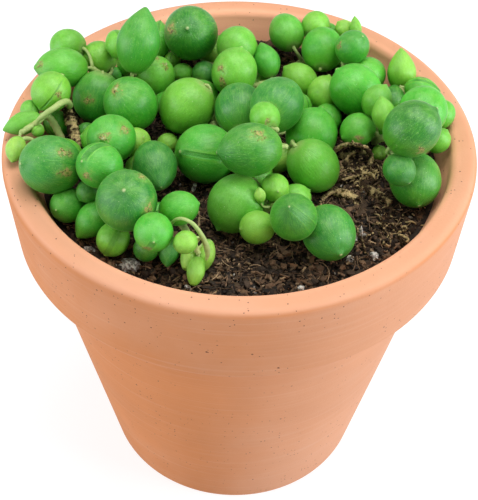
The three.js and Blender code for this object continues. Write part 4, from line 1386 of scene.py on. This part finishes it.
class BuildLeafyStems(bpy.types.Operator):
    """Grows every leafy stem with its leaves and their stalks."""
    bl_idname = "pearls.build_leafy_stems"
    bl_label = "Build Leafy Stems"

    def execute(self, context):
        settings = context.scene.pearls_plant
        rng = np.random.default_rng(settings.seed)
        skin = leaf_material(settings)
        stalk_skin = young_skin(settings, "Stalk skin")
        for stem in LEAFY_STEMS:
            own = [leaf for leaf in leaves if leaf.stem == stem]
            crown = self.crown(stem, own, settings.swell, rng).make(stem + "_leaves", skin)
            stalks = self.stalks(stem, own).make(stem + "_stalks", stalk_skin)
            for piece in (crown, stalks):
                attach(piece, "root")
                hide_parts(stem)
        return {"FINISHED"}

    def crown(self, stem, own, usual_swell, rng):
        """All leaves of a stem."""
        shape = Shape()
        for number, leaf in enumerate(own):
            opening = stem == NEWEST_STEM and leaf.across < LARGEST_BUD / 2
            swell = usual_swell * (BUD_SPREAD if opening else 1)
            points, faces, values = leaf_shape(leaf, swell, SCARS.get((stem, number), []), rng)
            shape.add(points, faces, **values)
        return shape

    def stalks(self, stem, own):
        """The stem, the short stalk of each leaf, and the arching young stalks without leaves."""
        shape = Shape()
        route = routes[stem]
        fine = curve_at(route, np.linspace(0, 1, 5 * len(route)))
        count = np.arange(len(fine))
        taper = np.interp(np.linspace(0, 1, len(fine)), [0, 0.75, 1], [1, 0.9, 0.65])
        ripple = 1 + 0.1 * np.sin(1.7 * count) * np.sin(0.6 * count)
        shape.add(*tube(fine, STEM_RADIUS * taper * ripple, STEM_SIDES))
        for leaf in own:
            width = 0.75 * PETIOLE_RADIUS * min(1, 0.45 + 0.16 * leaf.across)
            shape.add(*tube(stalk_points(leaf, route), width * np.array(STALK_WIDTHS), STALK_SIDES))
        shares = np.linspace(0, 1, YOUNG_STALK_STEPS)
        for widths, points in YOUNG_STALKS.get(stem, []):
            radii = np.interp(shares, YOUNG_STALK_PLACES, widths)
            shape.add(*tube(curve_at(points, shares), radii, STEM_SIDES))
        return shape


class BuildBareStems(bpy.types.Operator):
    """Lays the old, dry stems that have lost their leaves."""
    bl_idname = "pearls.build_bare_stems"
    bl_label = "Build Bare Stems"

    def execute(self, context):
        settings = context.scene.pearls_plant
        rng = np.random.default_rng(settings.seed + 1)
        skin = dry_skin(settings, "Dry stem skin")
        for stem in BARE_STEMS:
            route = routes[stem]
            fine = curve_at(route, np.linspace(0, 1, 9 * len(route)))
            taper = np.interp(np.linspace(0, 1, len(fine)), [0, 0.8, 1], [1, 0.85, 0.45])
            shape = Shape()
            girth = BARE_GIRTH.get(stem, USUAL_GIRTH)
            shape.add(*old_stem(fine, girth * BARE_RADIUS * taper, rng))
            self.crust(shape, fine[rng.random(len(fine)) < STEM_CRUST], BARE_RADIUS, rng)
            piece = shape.make(stem + "_dry", skin)
            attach(piece, "root")
            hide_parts(stem)
        tangle = Shape()
        for radius, points in DRY_ROOTS:
            fine = curve_at(points, np.linspace(0, 1, 10 * len(points)))
            fine[:, 2] += 0.1 * np.sin(1.3 * np.arange(len(fine)))
            tangle.add(*old_stem(fine, DRY_ROOT_GIRTH * radius, rng))
            self.crust(tangle, fine[rng.random(len(fine)) < ROOT_CRUST], radius, rng)
        for x, y, across, deep, count in ROOTLETS:
            self.rootlets(tangle, (x, y), (across, deep), count, rng)
        roots = tangle.make("dry_roots", skin)
        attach(roots, "root")
        return {"FINISHED"}

    def rootlets(self, shape, middle, spread, count, rng):
        """Thin dry roots curled over the soil."""
        for _ in range(count):
            place = np.array(middle) + spread * rng.normal(size=2)
            heading = rng.random() * 2 * math.pi
            turn = rng.normal() * 0.5
            lift = 0.2 + 0.7 * rng.random()
            path = []
            for step in range(ROOTLET_STEPS):
                ripple = 0.5 * math.sin(0.8 * step + heading)
                path.append((*place, loose_top(*place) + lift + ripple))
                heading += turn + 0.35 * rng.normal()
                place = place + 0.42 * np.array((math.cos(heading), math.sin(heading)))
            radii = (0.1 + 0.14 * rng.random()) * np.linspace(1, 0.5, ROOTLET_STEPS)
            shape.add(*tube(np.array(path), radii, ROOTLET_SIDES))

    def crust(self, shape, path, radius, rng):
        """Flakes and crumbs that cling to an old stem."""
        for place in path:
            points, faces = lump(radius * (0.3 + 0.35 * rng.random()), rng)
            shape.add(points + place + radius * 0.7 * rng.normal(size=3), faces)


class BuildStage(bpy.types.Operator):
    """Sets the camera, the soft lights and the pale floor."""
    bl_idname = "pearls.build_stage"
    bl_label = "Build Stage"

    def execute(self, context):
        settings = context.scene.pearls_stage
        self.camera(context.scene)
        self.floor(settings)
        self.lights(context.scene, settings)
        context.scene.view_settings.view_transform = "Standard"
        return {"FINISHED"}

    def camera(self, scene):
        """The photo's view, found by fitting a camera to the pot."""
        focal_pixels = 1249.32
        picture_height = 500
        sensor = 36
        tilt = math.radians(45.98)
        roll = math.radians(1.46)
        distance = 236.8
        target = Vector((0.34, 0, 45.54))
        back = Vector((0, -math.cos(tilt), math.sin(tilt)))
        right = Vector((1, 0, 0))
        up = back.cross(right)
        turned_right = right * math.cos(roll) + up * math.sin(roll)
        turned_up = up * math.cos(roll) - right * math.sin(roll)
        data = bpy.data.cameras.new("view")
        data.sensor_width = sensor
        data.lens = focal_pixels * sensor / picture_height
        data.clip_start = 0.01
        camera = bpy.data.objects.new("view", data)
        place = Matrix((turned_right, turned_up, back)).transposed().to_4x4()
        place.translation = (target + back * distance) * MM
        camera.matrix_world = place
        scene.collection.objects.link(camera)
        scene.camera = camera

    def floor(self, settings):
        """A wide grey floor that glows pale for the camera."""
        half = 2000
        seen_tone = 0.8
        shape = Shape()
        shape.add([(-half, -half, 0), (half, -half, 0), (half, half, 0), (-half, half, 0)], [(0, 1, 2, 3)])
        material, nodes = new_material("Floor")
        seen = nodes.times(nodes.node("ShaderNodeLightPath").outputs["Is Camera Ray"], seen_tone)
        shader = nodes.node("ShaderNodeBsdfPrincipled", {
            "Base Color": settings.floor, "Roughness": 1.0,
            "Emission Strength": nodes.math("MAXIMUM", seen, settings.bounce)})
        shader.inputs["Specular IOR Level"].default_value = 0
        shader.inputs["Emission Color"].default_value = WHITE
        nodes.node("ShaderNodeOutputMaterial", {"Surface": shader.outputs[0]})
        floor = shape.make("floor", material)

    def lights(self, scene, settings):
        """A soft sky and three large lamps."""
        far_floor_tone = 0.892
        world = bpy.data.worlds.new("soft_sky")
        world.use_nodes = True
        background = world.node_tree.nodes["Background"]
        background.inputs["Color"].default_value = WHITE
        nodes = Nodes(world.node_tree)
        seen = nodes.times(nodes.node("ShaderNodeLightPath").outputs["Is Camera Ray"], far_floor_tone)
        nodes.give(background.inputs["Strength"], nodes.math("MAXIMUM", seen, settings.sky))
        scene.world = world
        for name, place, size, power in (
            ("key", Vector((0.05, 0.04, 0.49)), 0.32, settings.key),
            ("right", Vector((0.48, -0.13, 0.22)), 0.3, settings.right),
            ("left", Vector((-0.48, -0.13, 0.22)), 0.3, settings.left),
        ):
            data = bpy.data.lights.new(name, "AREA")
            data.size = size
            data.energy = power
            if name != "key":
                data.color = SIDE_LIGHT
            light = bpy.data.objects.new(name, data)
            aim = Vector((0, 0, 0.05)) - place
            turn = aim.to_track_quat("-Z", "Y").to_matrix().to_4x4()
            light.matrix_world = Matrix.Translation(place) @ turn
            scene.collection.objects.link(light)


class PearlsPanel(bpy.types.Panel):
    bl_idname = "VIEW3D_PT_pearls"
    bl_label = "String of Pearls"
    bl_space_type = "VIEW_3D"
    bl_region_type = "UI"
    bl_category = "Pearls"

    def draw(self, context):
        layout = self.layout
        for operator, settings in BUILD_ORDER:
            layout.operator(operator.bl_idname)
            group = getattr(context.scene, settings)
            for name in group.__annotations__:
                layout.prop(group, name)


SETTINGS = {
    "pearls_clay": ClaySettings,
    "pearls_soil": SoilSettings,
    "pearls_plant": PlantSettings,
    "pearls_stage": StageSettings,
}
BUILD_ORDER = [
    (BuildPot, "pearls_clay"),
    (BuildSoil, "pearls_soil"),
    (BuildLeafyStems, "pearls_plant"),
    (BuildBareStems, "pearls_plant"),
    (BuildStage, "pearls_stage"),
]
CLASSES = [*SETTINGS.values(), *(operator for operator, _ in BUILD_ORDER), PearlsPanel]


def register():
    for one in CLASSES:
        bpy.utils.register_class(one)
    for name, group in SETTINGS.items():
        setattr(bpy.types.Scene, name, PointerProperty(type=group))


def unregister():
    for name in SETTINGS:
        delattr(bpy.types.Scene, name)
    for one in reversed(CLASSES):
        bpy.utils.unregister_class(one)


def main():
    """Builds the whole scene."""
    register()
    bpy.ops.pearls.build_pot()
    bpy.ops.pearls.build_soil()
    bpy.ops.pearls.build_leafy_stems()
    bpy.ops.pearls.build_bare_stems()
    bpy.ops.pearls.build_stage()


if __name__ == "__main__":
    main()
